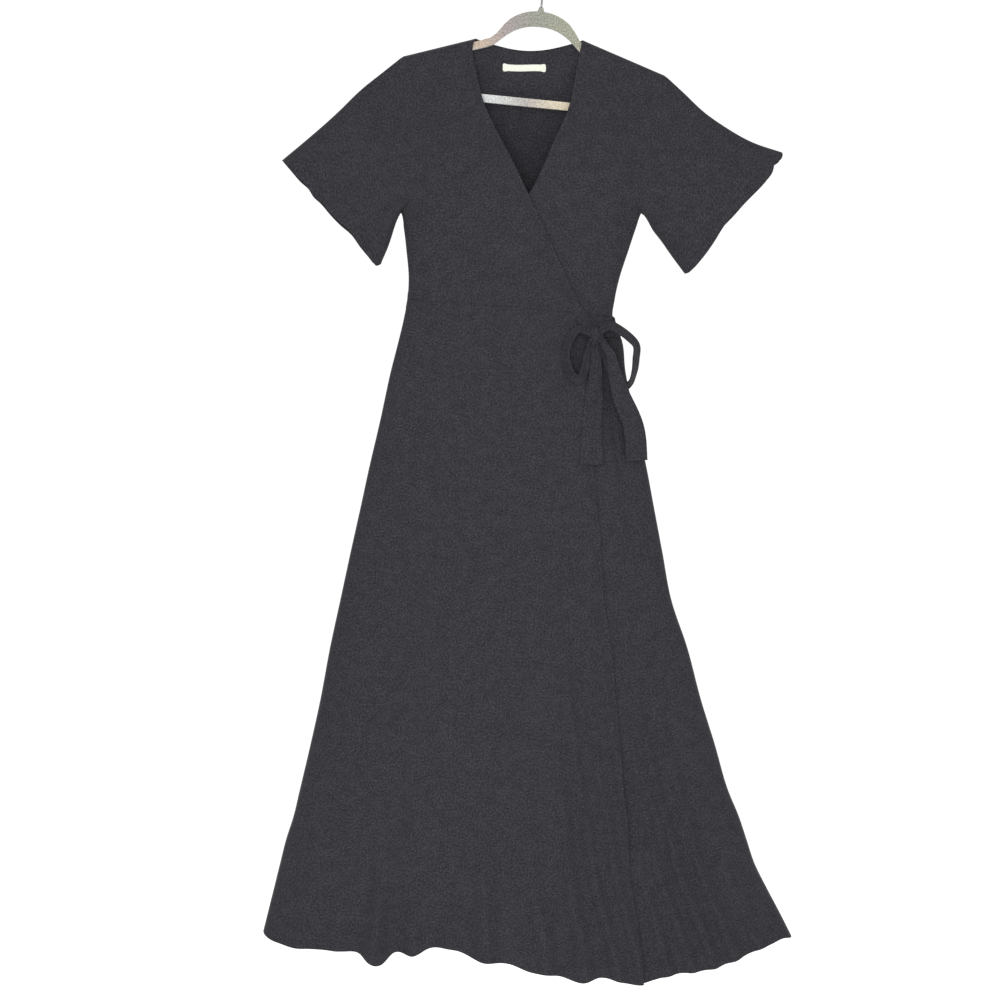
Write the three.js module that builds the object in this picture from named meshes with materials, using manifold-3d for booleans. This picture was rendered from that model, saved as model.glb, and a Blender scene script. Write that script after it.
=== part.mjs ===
// A black wrap maxi dress with flared elbow sleeves, tied at the side, hung on a slim flocked hanger.
// Millimetres, +Z up. The front faces -Y and +X is the wearer's left, which is the right of a front view.
// The origin is the inside top of the hanger's hook, where a rail carries it.
import * as THREE from 'three';
import { LoftGeometry } from 'three/addons/geometries/LoftGeometry.js';
import { mergeVertices } from 'three/addons/utils/BufferGeometryUtils.js';
import Module from 'manifold-3d';

const wasm = await Module();
wasm.setup();

const { clamp, degToRad, lerp, smoothstep } = THREE.MathUtils;

// Cloth sizes
const WALL = 1.6; // one wall of crepe with its seam allowance
const SEAM = 0.3; // gap between two pieces at a seam
const SLEEVE_SEAM = 0.9; // the same at the armhole, where both walls curve
const LAYER = 2.7; // from the middle of the over front to the middle of the under front
const RIDGE = 5.4; // half the thickness of the shoulder where it folds over the hanger's arm
const DRAPE = 230; // fall below the shoulder at which the body has its full depth
const SIDE_ROUNDING = 0.45; // 0.5 is an ellipse, less is flatter across the middle

// Where the seams lie, seen from the front
const WAIST = { leftZ: -494, rightZ: -521 };
const UNDERARM = { left: { x: -217.5, z: -361 }, right: { x: 145, z: -364 } };
const SHOULDER = { left: { x: -213, z: -129.5 }, right: { x: 180, z: -158.5 } };
const NECK = { left: { x: -105, z: -103 }, right: { x: 56, z: -105 }, backDrop: 15 };
const UNDERARM_ROW = 0.4; // share of a bodice panel's height where its rows meet the underarm

// The body seen from the front and its half depths. Above the underarm the sides are those that
// the front and back curve towards inside the sleeves.
const BODY = [
  { z: -1530, left: -446, right: 404, front: 84, back: 64 },
  { z: -1448, left: -424, right: 369, front: 80, back: 60 },
  { z: -1376, left: -406, right: 332, front: 77, back: 57.5 },
  { z: -1304, left: -388, right: 302, front: 73.3, back: 54.5 },
  { z: -1232, left: -368, right: 275, front: 69.3, back: 51.5 },
  { z: -1094, left: -336.5, right: 233.5, front: 61, back: 46 },
  { z: -944, left: -306.5, right: 189, front: 53, back: 41 },
  { z: -800, left: -275, right: 162, front: 47, back: 37 },
  { z: -749, left: -264, right: 152.5, front: 45, back: 36 },
  { z: -674, left: -246.5, right: 136, front: 42, back: 34 },
  { z: -600, left: -230.5, right: 120, front: 37, back: 31 },
  { z: -555, left: -219, right: 113.5, front: 34, back: 29 },
  { z: -521, left: -211, right: 101, front: 32, back: 28 },
  { z: -494, left: -206, right: 104, front: 32, back: 28 },
  { z: -464, left: -204, right: 110.5, front: 34, back: 29 },
  { z: -419, left: -209, right: 125, front: 38, back: 31 },
  { z: -361, left: -217.5, right: 145, front: 41, back: 33 },
  { z: -340, left: -234, right: 162, front: 41, back: 33 },
  { z: -290, left: -285, right: 215, front: 40, back: 32 },
  { z: -230, left: -350, right: 290, front: 38, back: 30 },
  { z: -100, left: -420, right: 370, front: 36, back: 28 },
];

// The front armholes: how far out the bodice reaches at each height, for the two sides.
const ARMHOLE_LEFT = [
  { z: -361, x: -217.5 },
  { z: -352, x: -207 },
  { z: -340, x: -196 },
  { z: -320, x: -185 },
  { z: -299, x: -179.5 },
  { z: -254, x: -180 },
  { z: -209, x: -187.5 },
  { z: -164, x: -200 },
  { z: -129.5, x: -213 },
];
const ARMHOLE_RIGHT = [
  { z: -364, x: 145 },
  { z: -355, x: 136.5 },
  { z: -343, x: 130.5 },
  { z: -314, x: 129.5 },
  { z: -284, x: 134 },
  { z: -239, x: 143 },
  { z: -202, x: 155 },
  { z: -176, x: 168.5 },
  { z: -158.5, x: 180 },
];

// The crossed neckline: the free edge of each front bodice, from the waist seam up to the neck.
const OVER_NECKLINE = [
  { z: -517, x: 57 },
  { z: -430, x: 16.5 },
  { z: -300, x: -44.5 },
  { z: -195, x: -93.5 },
  { z: -150, x: -104 },
  { z: -118, x: -108.5 },
  { z: -103, x: -105 },
];
const UNDER_NECKLINE = [
  { z: -498, x: -152 },
  { z: -430, x: -95 },
  { z: -337, x: -22.5 },
  { z: -266, x: 10.5 },
  { z: -205, x: 36 },
  { z: -150, x: 47 },
  { z: -105, x: 56 },
];

// The free edges of the wrapped skirt, as a share of the width from the left side seam.
const OVER_SKIRT_EDGE = [
  { z: -1530, share: 0.694 },
  { z: -1200, share: 0.757 },
  { z: -900, share: 0.8 },
  { z: -700, share: 0.815 },
  { z: -517, share: 0.868 },
];
const UNDER_SKIRT_EDGE = [
  { z: -1530, share: 0.3 },
  { z: -498, share: 0.175 },
];

// Hem heights across the front and back, as a share of the width from the left side seam.
const HEM = [
  { share: 0, front: -1442, back: -1441 },
  { share: 0.04, front: -1452, back: -1449 },
  { share: 0.12, front: -1460, back: -1456 },
  { share: 0.3, front: -1463, back: -1463 },
  { share: 0.42, front: -1476, back: -1468 },
  { share: 0.55, front: -1494, back: -1470 },
  { share: 0.695, front: -1503, back: -1469 },
  { share: 0.83, front: -1488, back: -1464 },
  { share: 0.93, front: -1466, back: -1456 },
  { share: 1, front: -1448, back: -1446 },
];

// Folds of the skirt: where each lies at every height, the height at which it starts, its half width
// as a share of the skirt's width, and how far it stands out at the hem.
const FRONT_FOLDS = [
  { share: 0.075, top: -1120, half: 0.022, out: 12 },
  { share: 0.145, top: -1220, half: 0.016, out: 11 },
  { share: 0.214, top: -1100, half: 0.015, out: 27 },
  { share: 0.288, top: -1170, half: 0.016, out: 16 },
  { share: 0.355, top: -1260, half: 0.017, out: 11 },
  { share: 0.425, top: -1000, half: 0.019, out: 20 },
  { share: 0.53, top: -1060, half: 0.019, out: 18 },
  { share: 0.608, top: -820, half: 0.016, out: 20 },
  { share: 0.672, top: -600, half: 0.014, out: 19 },
  { share: 0.742, top: -610, half: 0.015, out: 23 },
  { share: 0.8, top: -640, half: 0.014, out: 23 },
  { share: 0.862, top: -700, half: 0.015, out: 19 },
  { share: 0.93, top: -960, half: 0.016, out: 12 },
];
const BACK_FOLDS = [
  { share: 0.08, top: -1050, half: 0.022, out: 10 },
  { share: 0.17, top: -880, half: 0.02, out: 15 },
  { share: 0.25, top: -1130, half: 0.016, out: 9 },
  { share: 0.335, top: -760, half: 0.021, out: 17 },
  { share: 0.43, top: -1000, half: 0.017, out: 12 },
  { share: 0.51, top: -700, half: 0.021, out: 18 },
  { share: 0.6, top: -1080, half: 0.017, out: 11 },
  { share: 0.685, top: -800, half: 0.02, out: 16 },
  { share: 0.775, top: -980, half: 0.017, out: 12 },
  { share: 0.86, top: -720, half: 0.019, out: 15 },
  { share: 0.94, top: -1100, half: 0.016, out: 8 },
];

// The sleeves from the armhole to the cuff: the fold along the top, the seam under the arm and the
// half depth between them.
const SLEEVE_LEFT = [
  { along: 0, topX: -213, topZ: -129.5, underX: -217.5, underZ: -361, depth: 22 },
  { along: 0.15, topX: -240, topZ: -151, underX: -224.5, underZ: -366, depth: 22 },
  { along: 0.35, topX: -276, topZ: -178.5, underX: -229, underZ: -384, depth: 24 },
  { along: 0.55, topX: -311, topZ: -212, underX: -233, underZ: -404, depth: 26 },
  { along: 0.8, topX: -351, topZ: -247.5, underX: -242, underZ: -425, depth: 28 },
  { along: 1, topX: -393, topZ: -284, underX: -249, underZ: -442, depth: 30 },
];
const SLEEVE_RIGHT = [
  { along: 0, topX: 180, topZ: -158.5, underX: 145, underZ: -364, depth: 22 },
  { along: 0.15, topX: 206, topZ: -182.5, underX: 152.5, underZ: -370, depth: 22 },
  { along: 0.35, topX: 238, topZ: -211, underX: 162, underZ: -389, depth: 24 },
  { along: 0.55, topX: 271, topZ: -234, underX: 175, underZ: -406, depth: 26 },
  { along: 0.8, topX: 315, topZ: -258, underX: 195, underZ: -432, depth: 28 },
  { along: 1, topX: 355, topZ: -277, underX: 213, underZ: -452, depth: 30 },
];
const CUFF_WAVES = { count: 5, out: 5 };

// The self ties, knotted in a bow low on the side
const TIE = { strap: 24, lift: 2.7, slit: 176, knotTurn: -42, knotWidth: 13, drop: 26 };
const KNOT = { x: 74, y: -35.7, z: -550, wide: 12, deep: 9, tall: 13 };
// Each ribbon: points along its middle, its width there and the tilt of its width from +Y to +X.
const STRAP_FRONT = [
  { x: 47, y: -26, z: -500, width: 22, tilt: 90 },
  { x: 54, y: -27, z: -516, width: 19, tilt: 90 },
  { x: 62, y: -31, z: -532, width: 14, tilt: 90 },
  { x: 71, y: -36, z: -547, width: 9, tilt: 90 },
];
const LOOP_OUTER = [
  { x: 78, y: -37, z: -547, width: 8, tilt: 66 },
  { x: 94, y: -40, z: -536, width: 14, tilt: 54 },
  { x: 110, y: -41, z: -540, width: 18, tilt: 42 },
  { x: 125, y: -41, z: -551, width: 21, tilt: 32 },
  { x: 135, y: -40, z: -565, width: 22, tilt: 26 },
  { x: 135, y: -38, z: -584, width: 22, tilt: 24 },
  { x: 131, y: -37, z: -602, width: 21, tilt: 24 },
  { x: 121, y: -37, z: -616, width: 19, tilt: 36 },
  { x: 104, y: -38, z: -604, width: 16, tilt: 50 },
  { x: 93, y: -37, z: -581, width: 13, tilt: 58 },
  { x: 79, y: -36, z: -556, width: 8, tilt: 64 },
];
const LOOP_INNER = [
  { x: 70, y: -37, z: -549, width: 8, tilt: 114 },
  { x: 49, y: -41, z: -542, width: 15, tilt: 132 },
  { x: 34, y: -44, z: -558, width: 20, tilt: 146 },
  { x: 28, y: -45, z: -585, width: 22, tilt: 152 },
  { x: 36, y: -44, z: -610, width: 22, tilt: 148 },
  { x: 50, y: -43, z: -617, width: 19, tilt: 136 },
  { x: 58, y: -41, z: -597, width: 15, tilt: 128 },
  { x: 62, y: -38, z: -576, width: 11, tilt: 118 },
  { x: 69, y: -36, z: -557, width: 8, tilt: 112 },
];
const TAIL_INNER = [
  { x: 74, y: -37, z: -554, width: 9, tilt: 90 },
  { x: 75, y: -37, z: -590, width: 16, tilt: 88 },
  { x: 73, y: -33, z: -630, width: 24, tilt: 86 },
  { x: 69, y: -33, z: -680, width: 30, tilt: 86 },
  { x: 68, y: -36, z: -742, width: 34, tilt: 88 },
];
const TAIL_OUTER = [
  { x: 79, y: -40, z: -551, width: 8, tilt: 88 },
  { x: 86, y: -48, z: -564, width: 10, tilt: 86 },
  { x: 96, y: -53, z: -582, width: 14, tilt: 80 },
  { x: 108, y: -56, z: -606, width: 20, tilt: 76 },
  { x: 119, y: -46, z: -643, width: 28, tilt: 70 },
  { x: 131, y: -32, z: -687, width: 34, tilt: 64 },
  { x: 136, y: -27, z: -736, width: 37, tilt: 60 },
];
const RIBBON_CUP = 1.5; // how far the middle of a loop or tail bows out

// The woven label inside the back neck, left blank
const LABEL = { x: -31, z: -145, width: 65, height: 12, thick: 0.7, gap: 0.4 };

// The hanger, drawn upright from the top of its arch, then tilted as the weight hangs
const TILT = degToRad(5.7);
const HANGER = { thick: 5, apexDrop: 61, barTop: 133, barTall: 12, barEnd: 172 };
const ARM = [
  { out: 0, drop: 0.8, tall: 23.2 },
  { out: 12, drop: 2.2, tall: 22.5 },
  { out: 24, drop: 5.1, tall: 22.4 },
  { out: 36, drop: 10.6, tall: 22.2 },
  { out: 48, drop: 19.6, tall: 21.4 },
  { out: 57, drop: 31.4, tall: 18 },
  { out: 66, drop: 44.1, tall: 13.4 },
  { out: 80, drop: 50.9, tall: 12.5 },
  { out: 100, drop: 58.4, tall: 11.5 },
  { out: 150, drop: 75, tall: 12 },
  { out: 184, drop: 87, tall: 12.5 },
  { out: 196, drop: 94, tall: 11 },
];
const HOOK = { wire: 3, radius: 18, from: -60, to: 225, sides: 6, seatGap: 0.3 };
const COLLAR = { half: 5, tall: 5 };

// A table's column as a function of another, smooth between the rows.
function column(table, by, name, Interpolant = THREE.CubicInterpolant) {
  const rows = [...table].sort((a, b) => a[by] - b[by]);
  const curve = new Interpolant(rows.map((r) => r[by]), rows.map((r) => r[name]), 1);
  return (at) => curve.evaluate(at)[0];
}

const leftSide = column(BODY, 'z', 'left');
const rightSide = column(BODY, 'z', 'right');
const depth = { front: column(BODY, 'z', 'front'), back: column(BODY, 'z', 'back') };
const folds = { front: FRONT_FOLDS, back: BACK_FOLDS };
const hem = { front: column(HEM, 'share', 'front'), back: column(HEM, 'share', 'back') };
const armhole = { left: column(ARMHOLE_LEFT, 'z', 'x'), right: column(ARMHOLE_RIGHT, 'z', 'x') };
const overNeckline = column(OVER_NECKLINE, 'z', 'x');
const underNeckline = column(UNDER_NECKLINE, 'z', 'x');
const overSkirtEdge = column(OVER_SKIRT_EDGE, 'z', 'share');
const underSkirtEdge = column(UNDER_SKIRT_EDGE, 'z', 'share', THREE.LinearInterpolant);
const shoulderLine = column(
  [SHOULDER.left, NECK.left, NECK.right, SHOULDER.right], 'x', 'z', THREE.LinearInterpolant);

const waistLine = (x) =>
  lerp(WAIST.leftZ, WAIST.rightZ, (x - leftSide(WAIST.leftZ))
    / (rightSide(WAIST.rightZ) - leftSide(WAIST.leftZ)));
const atShare = (share, z) => lerp(leftSide(z), rightSide(z), share);
const shareOf = (x, z) => (x - leftSide(z)) / (rightSide(z) - leftSide(z));

// How far the skirt's folds stand out from its smooth form.
function foldDepth(face, share, z) {
  return folds[face].reduce((sum, fold) => {
    const grown = smoothstep(fold.top - z, 0, fold.top - hem[face](fold.share));
    const away = (share - fold.share) / fold.half;
    return sum + fold.out * grown * Math.exp(-away * away);
  }, 0);
}

// Half depth of the body at a point of the front view.
function halfDepth(face, x, z, folded = 1) {
  const share = clamp(shareOf(x, z), 0, 1);
  const round = Math.pow(4 * share * (1 - share), SIDE_ROUNDING);
  const fall = Math.max(shoulderLine(x) - z, 0);
  const cap = RIDGE * Math.sqrt(1 - (1 - clamp(fall / RIDGE, 0, 1)) ** 2);
  const swell = (depth[face](z) - RIDGE) * smoothstep(fall, 0, DRAPE);
  const flat = smoothstep(share, 0, 0.06) * smoothstep(1 - share, 0, 0.06);
  return (cap + swell) * round + folded * foldDepth(face, share, z) * flat;
}

const bodyPoint = (face, x, z, folded) =>
  new THREE.Vector3(x, halfDepth(face, x, z, folded) * (face === 'front' ? -1 : 1), z);

// The body's outward normal at a point of the front view.
function bodyNormal(face, x, z) {
  const across = bodyPoint(face, x + 1, z).sub(bodyPoint(face, x - 1, z));
  const up = bodyPoint(face, x, z + 1).sub(bodyPoint(face, x, z - 1));
  return (face === 'front' ? across.cross(up) : up.cross(across)).normalize();
}

// Even steps from one number to another, both ends included.
const steps = (from, to, count) =>
  Array.from({ length: count + 1 }, (_, i) => lerp(from, to, i / count));
// Shares of a width, closer together towards the side seams where the cloth turns.
const aroundShares = (from, to, count) => {
  const angle = (share) => Math.asin(2 * share - 1);
  return steps(angle(from), angle(to), count).map((a) => (1 + Math.sin(a)) / 2);
};

// Unit normals of a grid of points, towards the side from which rows rise when columns run right.
function normalsOf(grid, closed = false) {
  const last = grid[0].length - 1;
  const pick = (row, i) => row[closed ? (i + last + 1) % (last + 1) : clamp(i, 0, last)];
  return grid.map((row, j) => row.map((_, i) => {
    const across = pick(row, i + 1).clone().sub(pick(row, i - 1));
    const up = grid[Math.min(j + 1, grid.length - 1)][i].clone().sub(grid[Math.max(j - 1, 0)][i]);
    return across.cross(up).normalize();
  }));
}

// Moves each point of a grid along its normal, by the same amount or by one for each point.
function moved(grid, amount, normals = normalsOf(grid)) {
  return grid.map((row, j) => row.map((p, i) =>
    p.clone().addScaledVector(normals[j][i], typeof amount === 'number' ? amount : amount(p))));
}

// A wall of cloth through a grid of points. Its outer skin is on the side of the normals. Rows that
// end at a level seam keep their walls level, first gives the normals of a row that meets a
// neighbour, and keep() holds a skin clear of one.
function clothWall(grid, { wall = WALL, closed = false, level = [], first, keep = (p) => p } = {}) {
  const normals = normalsOf(grid, closed);
  if (first) normals[0] = first;
  for (const j of level) for (const n of normals[j]) n.setZ(0).normalize();
  const skins = [wall / 2, -wall / 2].map((out) =>
    moved(grid, out, normals).map((row) => row.map(keep)));
  const [rows, columns] = [grid.length, grid[0].length];
  const at = (skin, j, i) => (skin * rows + j) * columns + (i % columns);
  const index = [];
  const quad = (a, b, c, d) => index.push(a, b, c, a, c, d);
  const spans = closed ? columns : columns - 1;
  for (let i = 0; i < spans; i += 1) {
    for (let j = 0; j < rows - 1; j += 1) {
      quad(at(0, j, i), at(0, j, i + 1), at(0, j + 1, i + 1), at(0, j + 1, i));
      quad(at(1, j, i), at(1, j + 1, i), at(1, j + 1, i + 1), at(1, j, i + 1));
    }
    quad(at(1, 0, i), at(1, 0, i + 1), at(0, 0, i + 1), at(0, 0, i));
    quad(at(0, rows - 1, i), at(0, rows - 1, i + 1), at(1, rows - 1, i + 1), at(1, rows - 1, i));
  }
  for (let j = 0; j < rows - 1 && !closed; j += 1) {
    const end = columns - 1;
    quad(at(0, j, 0), at(0, j + 1, 0), at(1, j + 1, 0), at(1, j, 0));
    quad(at(1, j, end), at(1, j + 1, end), at(0, j + 1, end), at(0, j, end));
  }
  const geometry = new THREE.BufferGeometry().setFromPoints(skins.flat(2));
  geometry.setIndex(index);
  geometry.computeVertexNormals();
  return geometry;
}

const inFront = (p) => p.setY(Math.min(p.y, -SEAM / 2));
const behind = (p) => p.setY(Math.max(p.y, SEAM / 2));

// Rows of a bodice panel from the waist to the shoulder, closer at the underarm and over the ridge.
const BODICE_ROWS = [0, 0.05, 0.1, 0.17, 0.28, UNDERARM_ROW, 0.425, 0.46, 0.52, 0.6, 0.69, 0.78,
  0.87, 0.93, 0.968, 0.987, 0.996, 1];

// Height of a bodice panel's outer edge at a row: up the side seam, then round the armhole.
function bodiceSide(side, row) {
  const bottom = WAIST[`${side}Z`] + SEAM / 2;
  const [underarm, shoulder] = [UNDERARM[side].z, SHOULDER[side].z];
  const z = row < UNDERARM_ROW
    ? lerp(bottom, underarm, row / UNDERARM_ROW)
    : lerp(underarm, shoulder, (row - UNDERARM_ROW) / (1 - UNDERARM_ROW));
  const sideX = side === 'left' ? leftSide : rightSide;
  return { x: row < UNDERARM_ROW ? sideX(z) : armhole[side](z), z };
}

function bodiceEdge(neckline, neck, row) {
  const waistZ = neckline === overNeckline ? OVER_NECKLINE[0].z : UNDER_NECKLINE[0].z;
  const z = lerp(waistZ + SEAM / 2, neck.z, row);
  return { x: neckline(z), z };
}

// The under front lies inside the over front, and comes out to the seams at its own side.
function underInset(edgeX) {
  return (p) => {
    const side = p.z < UNDERARM.right.z ? rightSide(p.z) : armhole.right(p.z);
    const over = edgeX(p.z) + 10;
    const tucked = smoothstep((side - p.x) / (side - over), 0, 1);
    return -LAYER * tucked * smoothstep(shoulderLine(p.x) - p.z, 10, 120);
  };
}

function bodiceOver() {
  const grid = BODICE_ROWS.map((row) => {
    const [side, edge] = [bodiceSide('left', row), bodiceEdge(overNeckline, NECK.left, row)];
    return steps(0, 1, 13).map((i) => {
      const share = 1 - Math.cos((i * Math.PI) / 2);
      return bodyPoint('front', lerp(side.x, edge.x, share), lerp(side.z, edge.z, share));
    });
  });
  return clothWall(grid, { level: [0], keep: inFront });
}

function bodiceUnder() {
  const grid = BODICE_ROWS.map((row) => {
    const [side, edge] = [bodiceSide('right', row), bodiceEdge(underNeckline, NECK.right, row)];
    return steps(1, 0, 14).map((i) => {
      const share = 1 - Math.cos((i * Math.PI) / 2);
      return bodyPoint('front', lerp(side.x, edge.x, share), lerp(side.z, edge.z, share));
    });
  });
  return clothWall(moved(grid, underInset(overNeckline)), { level: [0], keep: inFront });
}

function bodiceBack() {
  const neckShares = [NECK.left.x, NECK.right.x].map((x) =>
    (x - SHOULDER.left.x) / (SHOULDER.right.x - SHOULDER.left.x));
  const shares = [
    ...steps(0, 1, 7).map((i) => neckShares[0] * (1 - Math.cos((i * Math.PI) / 2))).slice(0, -1),
    ...steps(0, Math.PI, 10).map((a) => lerp(...neckShares, (1 - Math.cos(a)) / 2)).slice(0, -1),
    ...steps(1, 0, 7).map((i) => 1 - (1 - neckShares[1]) * (1 - Math.cos((i * Math.PI) / 2))),
  ].reverse();
  const [low, high] = [NECK.left.x, NECK.right.x];
  const top = (x) => {
    const neck = clamp((x - low) / (high - low), 0, 1);
    return shoulderLine(x) - NECK.backDrop * Math.sqrt(Math.sin(neck * Math.PI));
  };
  const grid = BODICE_ROWS.map((row) => {
    const [left, right] = [bodiceSide('left', row), bodiceSide('right', row)];
    return shares.map((share) => {
      const x = lerp(left.x, right.x, share);
      const chord = lerp(SHOULDER.left.z, SHOULDER.right.z, share);
      return bodyPoint('back', x, lerp(left.z, right.z, share) + (top(x) - chord) * row);
    });
  });
  return clothWall(grid, { level: [0], keep: behind });
}

// Rows of a skirt panel from the hem to the waist.
const SKIRT_ROWS = [0, 0.07, 0.16, 0.28, 0.41, 0.55, 0.69, 0.81, 0.9, 0.95, 0.982, 1];

function skirtGrid(face, shares, edge = () => [0, 1], folded = () => 1) {
  return SKIRT_ROWS.map((row) => shares.map((s) => {
    const guess = lerp(hem[face](s), waistLine(atShare(s, WAIST.leftZ)), row);
    const share = lerp(...edge(guess), s);
    const bottom = hem[face](share);
    const z = lerp(bottom, waistLine(atShare(share, WAIST.leftZ)) - SEAM / 2, row);
    return bodyPoint(face, atShare(share, z), z, folded(share, z));
  }));
}

// Columns of the over skirt run from the left side seam to its free edge, in shares of that span.
function skirtOver() {
  const span = overSkirtEdge(-1000);
  const columns = aroundShares(0, span, 42).map((s) => s / span);
  const grid = skirtGrid('front', columns, (z) => [0, overSkirtEdge(z)]);
  return clothWall(grid, { level: [SKIRT_ROWS.length - 1], keep: inFront });
}

function skirtUnder() {
  const columns = [...steps(0, 0.6, 14).slice(0, -1), ...aroundShares(0.6, 1, 18)];
  const uncovered = (share, z) => smoothstep(share - overSkirtEdge(z), -0.005, 0.055);
  const grid = skirtGrid('front', columns, (z) => [underSkirtEdge(z), 1], uncovered);
  const inset = underInset((z) => atShare(overSkirtEdge(z), z));
  return clothWall(moved(grid, inset), { level: [SKIRT_ROWS.length - 1], keep: inFront });
}

function skirtBack() {
  const columns = aroundShares(0, 1, 50).reverse();
  return clothWall(skirtGrid('back', columns), { level: [SKIRT_ROWS.length - 1], keep: behind });
}

// A sleeve is one tube, from the armhole's own line to the open cuff.
function sleeve(side, table) {
  const out = side === 'left' ? -1 : 1;
  const at = Object.fromEntries(['topX', 'topZ', 'underX', 'underZ', 'depth']
    .map((name) => [name, column(table, 'along', name)]));
  const falls = BODICE_ROWS.filter((row) => row >= UNDERARM_ROW)
    .map((row) => (1 - row) / (1 - UNDERARM_ROW)).reverse();
  const turns = falls.map((fall) => Math.acos(1 - 2 * fall));
  turns.push(...turns.slice(1, -1).map((turn) => 2 * Math.PI - turn).reverse());
  const first = [];
  const rings = [0, 0.05, 0.14, 0.27, 0.42, 0.58, 0.74, 0.88, 1].map((along) =>
    turns.map((turn) => {
      const down = (1 - Math.cos(turn)) / 2;
      const face = turn < Math.PI ? 'front' : 'back';
      const line = (s) => new THREE.Vector3(
        lerp(at.topX(s), at.underX(s), down), 0, lerp(at.topZ(s), at.underZ(s), down));
      const z = lerp(SHOULDER[side].z, UNDERARM[side].z, down);
      const seam = bodyPoint(face, armhole[side](z), z);
      if (along === 0) first.push(bodyNormal(face, seam.x, z));
      seam.x += out * SLEEVE_SEAM;
      const leaving = (1 - along) ** 3;
      const p = line(along).add(seam.clone().sub(line(0)).multiplyScalar(leaving));
      const waves = CUFF_WAVES.out * along ** 2 * Math.sin(CUFF_WAVES.count * turn + out);
      const bulge = (at.depth(along) + waves) * Math.abs(Math.sin(turn)) ** 0.85;
      p.y = lerp(seam.y, bulge * (face === 'front' ? -1 : 1), smoothstep(along, 0, 0.5));
      return p;
    }));
  if (side === 'right') for (const ring of [...rings, first]) ring.reverse();
  return clothWall(rings, { closed: true, first });
}

// A point of the body's ring at a height, from the right side seam round the back, in degrees.
function ringPoint(turn, z) {
  const angle = degToRad(turn);
  const face = Math.sin(angle) >= 0 ? 'back' : 'front';
  return bodyPoint(face, atShare((1 + Math.cos(angle)) / 2, z), z);
}

// A strap that lies flat on the body along the waist seam.
function strapBack() {
  const grid = steps(TIE.slit, TIE.knotTurn, 42).map((turn) =>
    [-0.5, 0, 0.5].map((up) => {
      const falling = smoothstep(turn, TIE.knotTurn, 0);
      const middle = waistLine(ringPoint(turn, WAIST.leftZ).x) - lerp(TIE.drop, 0, falling);
      const z = middle + up * lerp(TIE.knotWidth, TIE.strap, falling);
      const [before, after] = [ringPoint(turn - 1, z), ringPoint(turn + 1, z)];
      const outward = new THREE.Vector3(after.y - before.y, before.x - after.x, 0).normalize();
      return ringPoint(turn, z).addScaledVector(outward, TIE.lift);
    }));
  return clothWall(grid);
}

// One closed solid of a geometry's positions.
function solidOf(geometry) {
  const bare = new THREE.BufferGeometry();
  bare.setIndex(geometry.index).setAttribute('position', geometry.attributes.position);
  const { index, attributes } = mergeVertices(bare);
  return new wasm.Manifold(new wasm.Mesh({
    numProp: 3,
    vertProperties: Float32Array.from(attributes.position.array),
    triVerts: Uint32Array.from(index.array),
  }));
}

// Cuts a ribbon back to where it comes out of the knot.
function outOfKnot(geometry) {
  const cut = solidOf(geometry).subtract(solidOf(knot(SEAM)));
  const { vertProperties, triVerts } = cut.getMesh();
  const result = new THREE.BufferGeometry();
  result.setAttribute('position', new THREE.BufferAttribute(vertProperties, 3));
  result.setIndex(new THREE.BufferAttribute(triVerts, 1));
  result.computeVertexNormals();
  return result;
}

// A ribbon through the rows of its table. What hangs lower lies on the skirt.
function ribbon(table, count) {
  const path = new THREE.CatmullRomCurve3(table.map((r) => new THREE.Vector3(r.x, r.y, r.z)));
  const rows = table.map((r, i) => ({ ...r, i }));
  const [width, tilt] = [column(rows, 'i', 'width'), column(rows, 'i', 'tilt')];
  const depthAxis = new THREE.Vector3(0, 1, 0);
  const grid = steps(0, 1, count).map((t) => {
    const row = t * (table.length - 1);
    const [middle, tangent] = [path.getPoint(t), path.getTangent(t)];
    const sideways = tangent.clone().cross(depthAxis).normalize();
    const turn = degToRad(tilt(row));
    const across = depthAxis.clone().multiplyScalar(Math.cos(turn))
      .addScaledVector(sideways, Math.sin(turn));
    const face = across.clone().cross(tangent).normalize();
    return [-0.5, -0.17, 0.17, 0.5].map((u) => {
      const p = middle.clone().addScaledVector(across, u * width(row))
        .addScaledVector(face, RIBBON_CUP * (0.25 - u * u));
      return p.setY(Math.min(p.y, -halfDepth('front', p.x, p.z) - TIE.lift));
    });
  });
  return outOfKnot(clothWall(grid));
}

function knot(grown = 0) {
  const profile = steps(0, Math.PI, 8).map((a) => new THREE.Vector2(Math.sin(a), -Math.cos(a)));
  profile[0].x = 0;
  profile[profile.length - 1].x = 0;
  const geometry = new THREE.LatheGeometry(profile, 14);
  geometry.rotateX(Math.PI / 2);
  geometry.scale(KNOT.wide + grown, KNOT.deep + grown, KNOT.tall + grown);
  return geometry.translate(KNOT.x, KNOT.y, KNOT.z);
}

// A blank label on the inside of the back, made from the back's own points.
function label() {
  const xs = steps(LABEL.x + LABEL.width / 2, LABEL.x - LABEL.width / 2, 6);
  const zs = steps(LABEL.z - LABEL.height / 2, LABEL.z + LABEL.height / 2, 2);
  const grid = zs.map((z) => xs.map((x) => bodyPoint('back', x, z)));
  const inside = -(WALL / 2 + LABEL.gap + LABEL.thick / 2);
  return clothWall(moved(grid, inside), { wall: LABEL.thick });
}

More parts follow.
